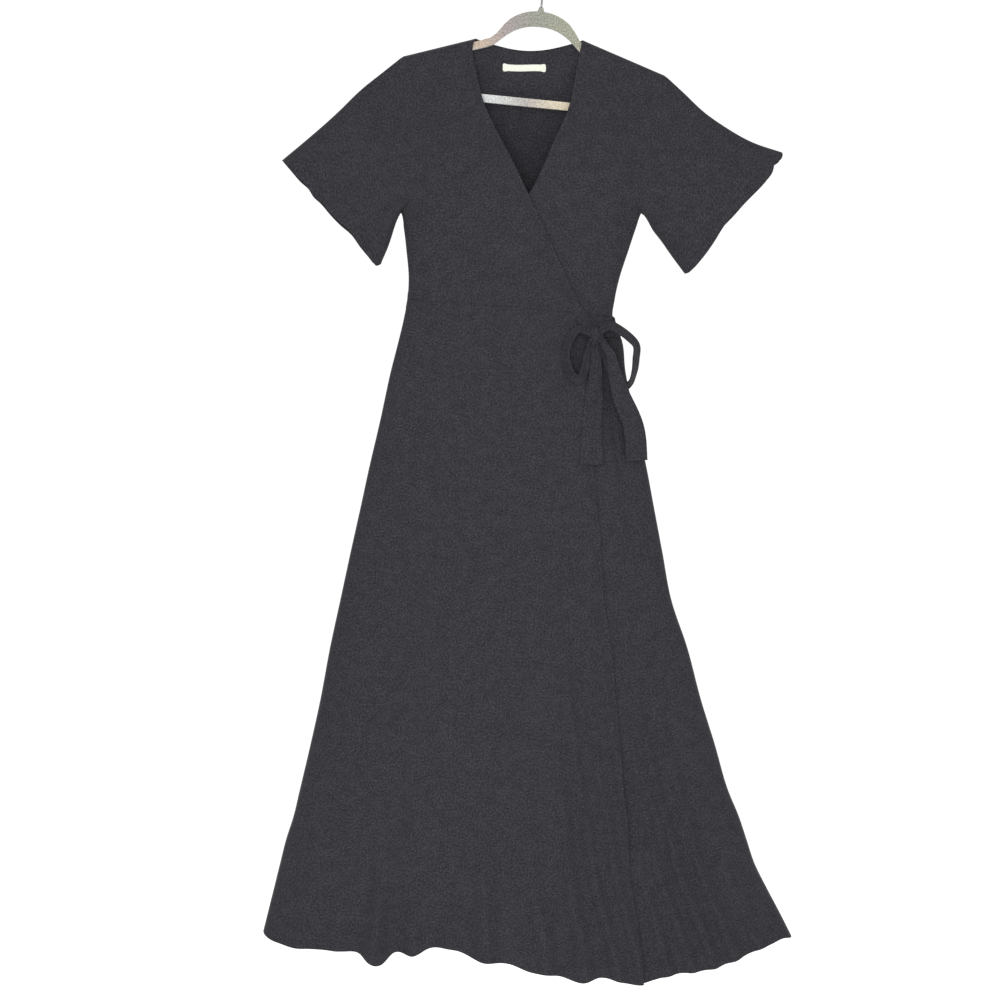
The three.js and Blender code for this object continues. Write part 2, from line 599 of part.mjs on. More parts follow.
// The flat body of the hanger: an arch, two sloping arms and the bar that closes them below.
function hangerBody() {
  const arm = { drop: column(ARM, 'out', 'drop'), tall: column(ARM, 'out', 'tall') };
  const outs = steps(0, ARM[ARM.length - 1].out, 22);
  const tip = ARM[ARM.length - 1];
  const right = outs.map((x) => new THREE.Vector2(x, -arm.drop(x)));
  const barLow = -HANGER.barTop - HANGER.barTall;
  right.push(new THREE.Vector2(tip.out + 2, -tip.drop - tip.tall * 0.7));
  right.push(new THREE.Vector2(tip.out - 5, -tip.drop - tip.tall - 8));
  right.push(new THREE.Vector2(HANGER.barEnd + 8, barLow + 8));
  right.push(new THREE.Vector2(HANGER.barEnd - 4, barLow));
  const collar = [new THREE.Vector2(COLLAR.half, -arm.drop(COLLAR.half)),
    new THREE.Vector2(COLLAR.half * 0.6, COLLAR.tall)];
  const half = [...collar.reverse(), ...right.slice(1)];
  const mirrored = (list) => list.map((p) => new THREE.Vector2(-p.x, p.y)).reverse();
  const shape = new THREE.Shape([...mirrored(half), ...half].reverse());
  const inner = steps(0, HANGER.barEnd - 2, 18)
    .map((x) => new THREE.Vector2(x, -arm.drop(x) - arm.tall(x)));
  inner.push(new THREE.Vector2(HANGER.barEnd, -HANGER.barTop + 16));
  inner.push(new THREE.Vector2(HANGER.barEnd - 12, -HANGER.barTop));
  shape.holes.push(new THREE.Path([...mirrored(inner.slice(1)), ...inner]));
  const geometry = new THREE.ExtrudeGeometry(shape, { depth: HANGER.thick, bevelEnabled: false });
  geometry.rotateX(Math.PI / 2);
  return geometry.translate(0, HANGER.thick / 2, -HANGER.apexDrop);
}

// The wire hook: up from the collar, then round over the rail. Its inside top is at the origin.
function hangerHook() {
  const middle = HOOK.radius + HOOK.wire / 2;
  const foot = -HANGER.apexDrop + COLLAR.tall + HOOK.seatGap;
  const centre = -HOOK.radius;
  const path = [...steps(foot, centre - 22, 3).map((z) => ({ x: 0, z })),
    { x: 2.5, z: centre - 20.5 }, { x: 8, z: centre - 18 }];
  for (const a of steps(HOOK.from, HOOK.to, 14)) {
    path.push({
      x: middle * Math.cos(degToRad(a)),
      z: centre + middle * Math.sin(degToRad(a)),
    });
  }
  const curve = new THREE.CatmullRomCurve3(path.map((p) => new THREE.Vector3(p.x, 0, p.z)));
  const sections = steps(0, 1, 32).map((t) => {
    const [at, along] = [curve.getPoint(t), curve.getTangent(t)];
    const side = new THREE.Vector3(0, 1, 0);
    const up = along.clone().cross(side).normalize();
    return steps(0, 2 * Math.PI, HOOK.sides).slice(0, -1).map((a) => at.clone()
      .addScaledVector(side, Math.cos(a) * HOOK.wire / 2)
      .addScaledVector(up, Math.sin(a) * HOOK.wire / 2));
  });
  return new LoftGeometry(sections, { capStart: true, capEnd: true });
}

const crepe = { color: 0x3a393e, roughness: 0.9, metalness: 0 };
const flock = { color: 0x9a9a93, roughness: 1, metalness: 0 };
const satin = { color: 0xf2f1ec, roughness: 0.6, metalness: 0 };
const steel = { color: 0xb9bcc0, roughness: 0.25, metalness: 1 };

function piece(name, geometry, finish) {
  const mesh = new THREE.Mesh(geometry, new THREE.MeshStandardMaterial(finish));
  mesh.name = name;
  return mesh;
}

const dress = new THREE.Group();
dress.add(
  piece('bodice_front_over', bodiceOver(), crepe),
  piece('bodice_front_under', bodiceUnder(), crepe),
  piece('bodice_back', bodiceBack(), crepe),
  piece('sleeve_wearer_right', sleeve('left', SLEEVE_LEFT), crepe),
  piece('sleeve_wearer_left', sleeve('right', SLEEVE_RIGHT), crepe),
  piece('skirt_front_over', skirtOver(), crepe),
  piece('skirt_front_under', skirtUnder(), crepe),
  piece('skirt_back', skirtBack(), crepe),
  piece('tie_strap_front', ribbon(STRAP_FRONT, 6), crepe),
  piece('tie_strap_back', strapBack(), crepe),
  piece('tie_knot', knot(), crepe),
  piece('tie_loop_outer', ribbon(LOOP_OUTER, 22), crepe),
  piece('tie_loop_inner', ribbon(LOOP_INNER, 22), crepe),
  piece('tie_tail_inner', ribbon(TAIL_INNER, 10), crepe),
  piece('tie_tail_outer', ribbon(TAIL_OUTER, 12), crepe),
  piece('neck_label', label(), satin),
);

const hanger = new THREE.Group();
hanger.rotation.y = TILT;
hanger.add(
  piece('hanger_body', hangerBody(), flock),
  piece('hanger_hook', hangerHook(), steel),
);

const hung = new THREE.Group();
hung.add(dress, hanger);

export default hung;
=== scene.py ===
"""A black crepe wrap dress with flared sleeves and a side bow, hung on a slim flocked hanger."""
import math

import bmesh
import bpy
import numpy as np
from mathutils import Matrix, Vector


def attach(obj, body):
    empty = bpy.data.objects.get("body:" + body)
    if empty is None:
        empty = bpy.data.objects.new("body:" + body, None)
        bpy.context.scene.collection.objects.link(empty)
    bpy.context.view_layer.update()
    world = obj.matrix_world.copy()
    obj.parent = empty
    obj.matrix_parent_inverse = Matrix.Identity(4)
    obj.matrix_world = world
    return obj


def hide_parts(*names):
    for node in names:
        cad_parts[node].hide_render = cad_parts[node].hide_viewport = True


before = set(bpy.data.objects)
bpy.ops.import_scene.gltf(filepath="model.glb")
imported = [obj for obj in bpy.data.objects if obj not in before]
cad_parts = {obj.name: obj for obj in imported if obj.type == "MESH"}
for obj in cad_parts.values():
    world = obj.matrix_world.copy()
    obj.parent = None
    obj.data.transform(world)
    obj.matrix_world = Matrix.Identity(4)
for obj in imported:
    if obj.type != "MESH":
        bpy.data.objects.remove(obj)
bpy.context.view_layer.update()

# Lengths in the tables are millimetres in the frame: +Z up, the front faces -Y, +X is the wearer's left.
MM = 0.001


def table(columns, rows):
    """Rows of numbers as dicts, under the names of their columns."""
    return [dict(zip(columns.split(), row)) for row in rows]


# Cloth
WALL = 1.1           # thickness of the crepe
LAYER = 2.9          # the under front lies this far inside the over front
RIDGE = 5.4          # half the thickness of the shoulder over the hanger's arm
DRAPE = 230          # fall below the shoulder at which the body has its full depth
SIDE_ROUNDING = 0.45     # how soon the body reaches its depth inward of the side seams
TUCK = 3.5           # what runs on under the neighbour at a seam
HEM_DEEP = 24        # the turned-up hem of the skirt
CUFF_DEEP = 18       # and that of a sleeve
SLEEVE_LENGTH = 235  # along the top fold
FACING_STITCH = 7    # topstitching along the neckline
OFF_SEAM = 60        # a stitch distance that means no stitching near
STITCH_HALF = 0.45   # half the width of a row of stitches
SEAM = dict(dent=0.6, swell=0.2, gathers=0.3)   # relief along the seams
HEM = dict(thicker=0.5, dent=0.7)               # relief of the turned-up hems
STITCH_LENGTH = 0.0028   # one stitch and its gap, in metres

WAIST = dict(left=-494, right=-521)
UNDERARM = dict(left=(-216.5, -361), right=(145, -364))
SHOULDER = dict(left=(-213, -129.5), right=(180, -158.5))
NECK = dict(left=(-103, -102.5), right=(56, -105))
NECK_DROP = 15.8     # depth of the back neck's scoop
SKIRT = dict(hem=-1460, waist=-505)     # about where it ends, before the lines of hem and waist place it

BODY = table("z left right front back", [
    (-1530, -446, 404, 84, 64),
    (-1448, -424, 369, 80, 60),
    (-1412, -415, 351, 78.5, 58.7),
    (-1376, -406, 332, 77, 57.5),
    (-1340, -397, 314, 75.2, 56.2),
    (-1304, -388, 302, 73.3, 54.5),
    (-1268, -376.5, 290, 71.3, 52.8),
    (-1232, -368, 275, 69.3, 51.5),
    (-1160, -351, 254, 65, 48.7),
    (-1094, -336.5, 233.5, 61, 46),
    (-1016, -322, 213, 57, 43.5),
    (-944, -306.5, 189, 53, 41),
    (-872, -291, 175.5, 50, 39),
    (-800, -275, 162, 47, 37),
    (-749, -264, 152.5, 45, 36),
    (-674, -246.5, 136, 42, 34),
    (-600, -230.5, 120, 37, 31),
    (-555, -219, 115, 34, 29),
    (-521, -211, 101, 32, 28),
    (-494, -206, 104, 32, 28),
    (-464, -204, 110.5, 34, 29),
    (-419, -207.5, 125, 38, 31),
    (-389, -211, 135, 39.8, 32.2),
    (-361, -216.5, 145.5, 41, 33),
    (-340, -234, 162, 41, 33),
    (-290, -285, 215, 40, 32),
    (-230, -350, 290, 38, 30),
    (-100, -420, 370, 36, 28),
])
ARMHOLE = dict(
    left=table("z x", [
        (-361, -216.5), (-352, -207), (-340, -196), (-320, -185), (-299, -179.5), (-254, -180),
        (-209, -187.5), (-164, -200), (-129.5, -213),
    ]),
    right=table("z x", [
        (-364, 145), (-355, 136.5), (-343, 130.5), (-314, 129.5), (-284, 134), (-239, 143), (-202, 155),
        (-176, 168.5), (-158.5, 180),
    ]),
)
OVER_NECKLINE = table("z x", [
    (-517, 57), (-430, 16.5), (-300, -44.5), (-195, -93.5), (-150, -104), (-118, -108.5), (-109, -107),
    (-102.5, -103),
])
UNDER_NECKLINE = table("z x", [
    (-498, -152), (-430, -95), (-337, -22.5), (-266, 10.5), (-205, 36), (-150, 47), (-118, 53), (-105, 56),
])
OVER_SKIRT_EDGE = table("z share", [
    (-1530, 0.694), (-1200, 0.757), (-900, 0.8), (-700, 0.815), (-517, 0.868),
])
UNDER_SKIRT_EDGE = table("z share", [
    (-1530, 0.3), (-1000, 0.237), (-498, 0.175),
])

# The hem line, as a share of the width from the wearer's right side seam.
FRONT_HEM = table("share z", [
    (0, -1441), (0.011, -1446), (0.042, -1453), (0.103, -1457), (0.162, -1458), (0.19, -1460),
    (0.21, -1471), (0.234, -1475), (0.253, -1459), (0.29, -1461), (0.323, -1450), (0.367, -1453),
    (0.411, -1468), (0.469, -1474), (0.498, -1484), (0.55, -1489), (0.585, -1499), (0.628, -1493),
    (0.657, -1498), (0.686, -1504), (0.715, -1499), (0.745, -1492), (0.818, -1485), (0.878, -1472),
    (0.923, -1459), (0.954, -1453), (0.986, -1447), (1, -1449),
])
BACK_HEM = table("share z", [
    (0, -1441), (0.03, -1449), (0.12, -1455), (0.26, -1458), (0.4, -1467), (0.55, -1469), (0.7, -1469),
    (0.85, -1461), (0.95, -1452), (1, -1448),
])

# The skirt's folds, uneven in place, length, width and depth. sway moves a fold across the cloth.
FRONT_FOLDS = table("share top half out sway", [
    (0.075, -1230, 0.02, 9, 0.004),
    (0.145, -1310, 0.016, 8, -0.003),
    (0.217, -1280, 0.017, 19, 0.003),
    (0.288, -1300, 0.016, 12, -0.004),
    (0.355, -1330, 0.017, 8, 0.003),
    (0.425, -1180, 0.019, 13, 0.005),
    (0.53, -1150, 0.018, 12, -0.004),
    (0.602, -1010, 0.015, 12, 0.004),
    (0.655, -760, 0.0125, 10, -0.003),
    (0.7, -900, 0.011, 9, 0.002),
    (0.748, -720, 0.0125, 12, 0.003),
    (0.79, -980, 0.011, 9, -0.002),
    (0.832, -800, 0.012, 11, -0.003),
    (0.878, -900, 0.0125, 10, 0.002),
    (0.932, -1080, 0.015, 9, 0.002),
])
BACK_FOLDS = table("share top half out sway", [
    (0.08, -1050, 0.022, 10, 0.004),
    (0.17, -880, 0.02, 15, -0.004),
    (0.25, -1130, 0.016, 9, 0.003),
    (0.335, -760, 0.021, 17, 0.005),
    (0.43, -1000, 0.017, 12, -0.003),
    (0.51, -700, 0.021, 18, -0.005),
    (0.6, -1080, 0.017, 11, 0.003),
    (0.685, -800, 0.02, 16, 0.004),
    (0.775, -980, 0.017, 12, -0.003),
    (0.86, -720, 0.019, 15, -0.004),
    (0.94, -1100, 0.016, 8, 0.003),
])

# Creases drawn on the front view, from one point to another. half is the half width, out the height
# of a ridge or, below nought, the depth of a trough, and bow how far its middle bends aside.
SKIRT_FRONT_CREASES = table("x0 z0 x1 z1 half out bow", [
    (66, -560, 92, -900, 7, -2, 5),
    (74, -565, 128, -1010, 8, 2, -6),
    (60, -556, 44, -800, 8, 1.5, -4),
    (54, -552, 4, -720, 9, -1.3, -5),
    (58, -548, -30, -610, 8, 1.1, -4),
    (84, -556, 104, -700, 6, -1.6, 3),
    (94, -640, 150, -960, 7, -1.8, 4),
    (-200, -520, -232, -760, 9, 1.3, 5),
    (-178, -510, -196, -690, 8, -1.1, -4),
    (-130, -508, -141, -640, 8, 0.9, 3),
    (-60, -512, -66, -670, 9, -0.9, -3),
    (-12, -515, -20, -640, 8, 0.8, 4),
    (-250, -830, -300, -1240, 14, 2, 8),
    (-210, -900, -236, -1330, 12, -1.8, -6),
    (-120, -860, -150, -1300, 14, 1.8, 6),
    (-60, -980, -62, -1400, 13, -2, 5),
    (0, -800, 8, -1220, 13, 1.7, -7),
    (48, -930, 66, -1380, 11, -1.9, 5),
])
SKIRT_BACK_CREASES = table("x0 z0 x1 z1 half out bow", [
    (-185, -512, -214, -820, 9, 2.6, -6),
    (-140, -514, -158, -760, 8, -2, 4),
    (-96, -516, -104, -900, 10, 2.6, 6),
    (-44, -518, -42, -700, 8, -1.8, -4),
    (0, -520, 12, -860, 9, 2.4, 5),
    (40, -522, 66, -760, 8, -2.2, -5),
    (76, -524, 120, -900, 8, 2.2, 4),
    (-260, -900, -318, -1350, 13, -3.2, 7),
    (-130, -950, -150, -1400, 12, -3.2, -6),
    (30, -960, 42, -1390, 12, -3.4, 6),
    (150, -900, 210, -1380, 11, -3, -6),
])
BODICE_FRONT_CREASES = table("x0 z0 x1 z1 half out bow", [
    (52, -512, -60, -452, 8, 2.6, 6),
    (46, -516, -96, -486, 7, -2, 4),
    (48, -505, -20, -405, 8, -2.4, -5),
    (-70, -478, -176, -470, 9, 1.8, -6),
    (-196, -372, -108, -330, 13, 3, 8),
    (-190, -352, -120, -292, 11, -2.6, -6),
    (-176, -262, -150, -390, 13, 3.2, 9),
    (-140, -160, -128, -300, 14, 2.6, 7),
    (-178, -190, -160, -300, 10, -2.4, -4),
    (-100, -230, -66, -330, 11, 2.2, -5),
    (118, -240, 88, -400, 12, 3, -8),
    (132, -352, 72, -306, 12, -2.6, -6),
    (98, -160, 84, -290, 13, 2.6, 6),
    (58, -190, 42, -330, 11, -2.4, 5),
    (100, -420, 40, -448, 9, 2, 4),
    (94, -500, 66, -440, 7, -1.8, -3),
])
BODICE_BACK_CREASES = table("x0 z0 x1 z1 half out bow", [
    (-186, -230, -150, -390, 13, 3.2, 8),
    (-120, -150, -104, -320, 14, 2.4, -6),
    (-150, -330, -60, -300, 13, -2.4, 7),
    (-40, -180, -34, -360, 15, 2, 6),
    (130, -240, 96, -400, 12, 3, -7),
    (60, -170, 52, -330, 13, 2.2, 5),
    (40, -360, -60, -420, 12, 2, 8),
    (-160, -440, -60, -470, 10, -1.8, 5),
    (84, -446, 0, -480, 9, 1.8, -5),
])
# Creases of a sleeve, on its tube: turn goes from the top fold round the front, in degrees.
SLEEVE_CREASES = table("turn0 along0 turn1 along1 half out", [
    (40, 0.02, 64, 0.75, 11, 3.6),
    (78, 0.05, 52, 0.6, 9, -3),
    (120, 0.0, 96, 0.85, 12, 3.8),
    (150, 0.05, 124, 0.55, 10, -3),
    (88, 0.45, 74, 1.0, 10, -2.6),
    (216, 0.0, 240, 0.7, 12, 3.4),
    (262, 0.05, 250, 0.8, 10, -2.8),
    (300, 0.02, 286, 0.75, 11, 3.4),
    (326, 0.1, 312, 0.7, 9, -2.6),
])

SLEEVES = dict(
    left=table("along top_x top_z under_x under_z depth", [
        (0, -213, -129.5, -216.5, -361, 22),
        (0.15, -240, -151, -220, -367, 22),
        (0.35, -276, -180, -226, -384, 24),
        (0.55, -311, -214, -231.5, -402, 26),
        (0.8, -351, -249.5, -238.5, -422, 28),
        (1, -394, -285.5, -243.5, -437, 30),
    ]),
    right=table("along top_x top_z under_x under_z depth", [
        (0, 180, -158.5, 145, -364, 22),
        (0.15, 206, -182.5, 151.5, -370, 22),
        (0.35, 237, -212, 162, -389, 24),
        (0.55, 269, -235, 175, -406, 26),
        (0.8, 313, -259.5, 192.5, -431, 28),
        (1, 355.5, -274, 209.5, -454, 30),
    ]),
)
CUFF_WAVES = dict(count=5, out=5)
# How far the cuff's edge runs past a straight line, from its top fold down to the underarm seam.
CUFF_EDGE = dict(
    left=table("down past", [
        (0, 0), (0.076, 0.9), (0.173, 2.1), (0.26, 1.4), (0.309, 4.1), (0.387, 3.7), (0.509, 5.5),
        (0.589, 5.4), (0.683, 3.6), (0.806, 7.6), (0.895, 9.5), (0.96, 10.8), (0.988, 9.4), (1, 4),
    ]),
    right=table("down past", [
        (0, -0.5), (0.02, 3), (0.045, 4.6), (0.095, 1.8), (0.148, 6.8), (0.243, 7.4), (0.294, 6.2),
        (0.375, 4.4), (0.478, 3.4), (0.609, 1.4), (0.748, 5.2), (0.858, 6.6), (0.938, 5.6), (0.985, 3),
        (1, 0.4),
    ]),
)

# The self ties. A ribbon's rows give points along its middle, its width and the tilt of its width.
# slit and knot_turn are degrees round the waist, and gathered is a share of a ribbon's length.
TIE = dict(strap=24, lift=2.7, slit=176, knot_turn=-42, knot_width=13, drop=26, wall=2, stitch=3,
           gathered=0.16)
KNOT = dict(x=74, y=-35.7, z=-550, wide=12, deep=9, tall=13)
STRAP_FRONT = table("x y z width tilt", [
    (40, -25, -503, 21, 90),
    (50, -26, -518, 19, 90),
    (61, -30, -533, 14, 90),
    (71, -36, -547, 9, 90),
])
LOOP_OUTER = table("x y z width tilt", [
    (78, -37, -547, 8, 66),
    (94, -41, -536, 15, 56),
    (110, -43, -542.5, 19, 44),
    (125, -42, -554, 21, 36),
    (135, -40, -567, 22, 30),
    (134.5, -38, -585, 22, 26),
    (131.5, -37, -604, 22, 22),
    (126, -37, -621, 20, 22),
    (113, -38, -626, 18, 32),
    (98, -38, -607, 15, 50),
    (88, -37, -578, 12, 60),
    (78, -36, -556, 8, 64),
])
LOOP_INNER = table("x y z width tilt", [
    (70, -37, -549, 8, 114),
    (50, -41, -541, 15, 130),
    (35, -44, -556, 20, 144),
    (29, -45, -583, 22, 150),
    (37, -44, -609, 22, 146),
    (51, -43, -616, 19, 136),
    (59, -41, -597, 15, 128),
    (63, -38, -576, 11, 118),
    (69, -36, -557, 8, 112),
])
TAIL_INNER = table("x y z width tilt", [
    (74, -37, -554, 9, 90),
    (75, -37, -590, 16, 88),
    (73, -33, -630, 24, 86),
    (69, -33, -680, 30, 86),
    (68, -36, -742, 34, 88),
])
TAIL_OUTER = table("x y z width tilt", [
    (79, -40, -551, 8, 88),
    (86, -48, -564, 10, 86),
    (96, -53, -582, 14, 80),
    (102, -56, -608, 20, 76),
    (112.5, -48, -642, 28, 72),
    (131, -34, -686, 34, 66),
    (136, -27, -736, 37, 62),
])

LABEL = dict(x=-31, z=-145, width=65, height=12, thick=0.7, gap=0.4, stitch=0.455)
HOOK = dict(wire=3, radius=18, start=-60, end=225, foot=-56, stem=22)
HOOK_BEND = [(2.5, 20.5), (8, 18)]     # across and below the eye's middle, from the stem to the eye
TILT = math.radians(5.7)               # lean of the hanger
RIM = dict(radius=1.7, steps=5, sharp=1.2)     # rounding of the hanger's edges, and which count as sharp

# Where the photograph was taken from: the frame is 1.5 m wide at the dress.
CAMERA = dict(x=-67.5, y=-3200, z=-794.3, across=1500, sensor=36)

# The studio, in metres and watts.
FLOOR = dict(z=-2.6, half=7)
SURROUND = 1.05
LIGHTS = table("name at aim size power", [
    ("front_fill", (-0.3, -3.8, -0.7), (-0.07, 0, -0.85), 1.8, 115),
    ("key", (1.6, -3.2, 0.6), (-0.05, 0, -0.9), 1.4, 12),
    ("back_fill", (-0.4, 3.4, 2.4), (-0.07, 0, -0.9), 1.6, 45),
    ("floor_light", (0, 4.4, 2.2), (0, 5, -2.6), 1.6, 70),
])


def lerp(a, b, t):
    return a + (b - a) * t


def smooth(t, low=0.0, high=1.0):
    t = np.clip((t - low) / (high - low), 0, 1)
    return t * t * (3 - 2 * t)


def hill(away, width):
    """1 at nought, and next to nothing at twice the width."""
    return np.exp(-((away / width) ** 2))


def inside(share, low, high):
    """1 over the middle of a share, fading to nought over its two ends."""
    return smooth(share, 0, low) * smooth(1 - share, 0, high)


def column(rows, by, name):
    """A table's column as a smooth function of another, for whole arrays."""
    rows = sorted(rows, key=lambda row: row[by])
    at = np.array([row[by] for row in rows], float)
    value = np.array([row[name] for row in rows], float)
    slope = np.gradient(value, at)

    def read(x):
        x = np.clip(x, at[0], at[-1])
        i = np.clip(np.searchsorted(at, x) - 1, 0, len(at) - 2)
        step = at[i + 1] - at[i]
        t = (x - at[i]) / step
        ends = lerp(value[i], value[i + 1], t * t * (3 - 2 * t))
        return ends + step * t * (1 - t) * ((1 - t) * slope[i] - t * slope[i + 1])

    return read


left_side, right_side = column(BODY, "z", "left"), column(BODY, "z", "right")
body_depth = dict(front=column(BODY, "z", "front"), back=column(BODY, "z", "back"))
hem_line = dict(front=column(FRONT_HEM, "share", "z"), back=column(BACK_HEM, "share", "z"))
armhole = {side: column(rows, "z", "x") for side, rows in ARMHOLE.items()}
over_neckline, under_neckline = column(OVER_NECKLINE, "z", "x"), column(UNDER_NECKLINE, "z", "x")
over_skirt_edge = column(OVER_SKIRT_EDGE, "z", "share")
under_skirt_edge = column(UNDER_SKIRT_EDGE, "z", "share")
skirt_folds = dict(front=FRONT_FOLDS, back=BACK_FOLDS)
creases = dict(
    bodice_front=BODICE_FRONT_CREASES, bodice_back=BODICE_BACK_CREASES,
    skirt_front=SKIRT_FRONT_CREASES, skirt_back=SKIRT_BACK_CREASES,
)


def shoulder_line(x):
    points = [SHOULDER["left"], NECK["left"], NECK["right"], SHOULDER["right"]]
    return np.interp(x, [p[0] for p in points], [p[1] for p in points])


def waist_line(x):
    low, high = left_side(WAIST["left"]), right_side(WAIST["right"])
    return lerp(WAIST["left"], WAIST["right"], (x - low) / (high - low))


def share_of(x, z):
    return (x - left_side(z)) / (right_side(z) - left_side(z))


def at_share(share, z):
    return lerp(left_side(z), right_side(z), share)


def fold_depth(face, share, z):
    """How far the skirt's large folds stand out."""
    total = 0
    for fold in skirt_folds[face]:
        hem = hem_line[face](fold["share"])
        down = (fold["top"] - z) / (fold["top"] - hem)
        middle = fold["share"] + fold["sway"] * np.sin(4 * down)
        total = total + fold["out"] * smooth(down) * hill(share - middle, fold["half"])
    return total


def crease_depth(place, x, z):
    """How far the smaller creases of a place stand out, each fading at both ends."""
    total = 0
    for crease in creases[place]:
        run = np.array([crease["x1"] - crease["x0"], crease["z1"] - crease["z0"]], float)
        length = np.hypot(*run)
        run /= length
        dx, dz = x - crease["x0"], z - crease["z0"]
        t = (dx * run[0] + dz * run[1]) / length
        aside = dx * run[1] - dz * run[0] - crease["bow"] * np.sin(np.pi * np.clip(t, 0, 1))
        fade = smooth(t, -0.08, 0.3) * smooth(1 - t, -0.08, 0.45)
        width = crease["half"] * lerp(0.75, 1.35, np.clip(t, 0, 1))
        total = total + crease["out"] * fade * hill(aside, width)
    return total


def half_depth(face, x, z, folded=1.0):
    """Half depth of the body at a point of the front view, with its large folds."""
    share = np.clip(share_of(x, z), 0, 1)
    rounding = (4 * share * (1 - share)) ** SIDE_ROUNDING
    fall = np.maximum(shoulder_line(x) - z, 0)
    cap = RIDGE * np.sqrt(1 - (1 - np.clip(fall / RIDGE, 0, 1)) ** 2)
    swell = (body_depth[face](z) - RIDGE) * smooth(fall, 0, DRAPE)
    return (cap + swell) * rounding + folded * fold_depth(face, share, z) * inside(share, 0.06, 0.06)


def tucked(x, z, over_edge):
    """How far inside the over front the under front lies."""
    side = np.where(z < UNDERARM["right"][1], right_side(z), armhole["right"](z))
    under = smooth((side - x) / (side - over_edge - 10))
    return LAYER * under * smooth(shoulder_line(x) - z, 10, 120)


def smallest(*distances):
    """The nearest of several stitch lines."""
    stacked = np.stack(np.broadcast_arrays(*distances))
    nearest = np.abs(stacked).argmin(0)
    return np.take_along_axis(stacked, nearest[None], 0)[0]


def mesh_of(bm, name):
    """A mesh made from a bmesh, which is done with."""
    mesh = bpy.data.meshes.new(name)
    bm.to_mesh(mesh)
    bm.free()
    return mesh


def numbers_of(items, name, size, kind=float):
    """One property of all of a mesh's vertices or loops."""
    values = np.empty(len(items) * size, kind)
    items.foreach_get(name, values)
    return values


def lay_cloth(mesh, places, stitch):
    """The cloth's own UV map in metres, and each point's distance from the stitching."""
    loops = numbers_of(mesh.loops, "vertex_index", 1, int)
    mesh.uv_layers.new(name="cloth").uv.foreach_set("vector", places[loops].ravel())
    mesh.attributes.new("stitch", "FLOAT", "POINT").data.foreach_set("value", stitch)


def link(name, mesh, material, node):
    """Adds a mesh to the scene as a piece that rides on the dress."""
    piece = bpy.data.objects.new(name, mesh)
    bpy.context.scene.collection.objects.link(piece)
    mesh.materials.clear()
    mesh.materials.append(material)
    for polygon in mesh.polygons:
        polygon.use_smooth = True
    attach(piece, "root")
    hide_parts(node)
    return piece


def thicken(piece, wall):
    """Gives a sheet its wall, half on each side of it."""
    solidify = piece.modifiers.new("wall", "SOLIDIFY")
    solidify.thickness = wall * MM
    solidify.offset = 0


def sheet_of_cloth(name, across, rows, form, material, node, wall=WALL, tube=False):
    """A sheet of cloth laid on its form.

    form takes the share across and the share up and gives x, y, z and the distance from the nearest
    line of stitching. rows is their number or their heights from 0 to 1, and tube joins the two sides."""
    heights = np.linspace(0, 1, rows + 1) if isinstance(rows, int) else rows
    down = len(heights) - 1
    bm = bmesh.new()
    bmesh.ops.create_grid(bm, x_segments=across, y_segments=down, size=0.5)
    mesh = mesh_of(bm, name)
    flat = numbers_of(mesh.vertices, "co", 3).reshape(-1, 3)
    u, v = flat[:, 0] + 0.5, flat[:, 1] + 0.5
    v = np.interp(v, np.linspace(0, 1, down + 1), heights)
    x, y, z, stitch = np.broadcast_arrays(*form(u, v))
    points = np.stack([x, y, z], 1)
    mesh.vertices.foreach_set("co", (points * MM).ravel())

    grid = points.reshape(down + 1, across + 1, 3)
    run = np.linalg.norm(np.diff(grid, axis=1), axis=2).cumsum(1)
    rise = np.linalg.norm(np.diff(grid, axis=0), axis=2).cumsum(0)
    place = np.zeros((down + 1, across + 1, 2))
    place[:, 1:, 0] = run
    place[:, :, 0] -= place[:, -1:, 0] / 2
    place[1:, :, 1] = rise
    lay_cloth(mesh, place.reshape(-1, 2) * MM, stitch.astype(float))

    if tube:
        bm = bmesh.new()
        bm.from_mesh(mesh)
        bmesh.ops.remove_doubles(bm, verts=bm.verts, dist=0.05 * MM)
        bm.to_mesh(mesh)
        bm.free()
    mesh.update()
    thicken(link(name, mesh, material, node), wall)


def spaced(*bands):
    """Heights of rows from 0 to 1 in bands of (from, to, count), closer together where it matters."""
    parts = [np.linspace(low, high, count, endpoint=False) for low, high, count in bands]
    return np.concatenate(parts + [[1.0]])


def seam_dent(away):
    """The dent along a seam, with the cloth swelling a little beside it."""
    return SEAM["swell"] * hill(away - 6, 4.5) - SEAM["dent"] * hill(away, 2)


def armhole_dent(side, x, z):
    """The armhole's seam, which fades at the underarm and at the shoulder."""
    beside = smooth(z - UNDERARM[side][1], 0, 12) * smooth(shoulder_line(x) - z, 2, 14)
    return seam_dent(np.abs(x - armhole[side](z))) * beside


def waist_seam(x, above):
    """The waist seam, with small uneven gathers that reach further down than up."""
    away = np.abs(above)
    drawn = 0.55 + 0.45 * np.sin(x * 0.037 + 1.1)
    coarse, fine = np.sin(x * 0.29 + 2.3 * np.sin(x * 0.061)), np.sin(x * 0.53 + 2.6 * np.sin(x * 0.043))
    ripple = drawn * (coarse + 0.5 * fine)
    reach = np.where(above < 0, 34 + 14 * np.sin(x * 0.05 + 0.6), 17)
    return seam_dent(away) + SEAM["gathers"] * ripple * hill(away, reach) * smooth(away, 0, 6)


def hem_roll(rise, deep):
    """The turned-up hem: thicker below its stitching, with a shallow dent along it."""
    return HEM["thicker"] * smooth(deep - rise, -1.5, 1.5) - HEM["dent"] * hill(rise - deep, 2.2)


# Materials

def spread_out(tree, kind):
    """A new shader node, in rows of seven so that none covers another."""
    row, place = divmod(len(tree.nodes), 7)
    made = tree.nodes.new(kind)
    made.location = (260 * place - 1900, -340 * row)
    return made


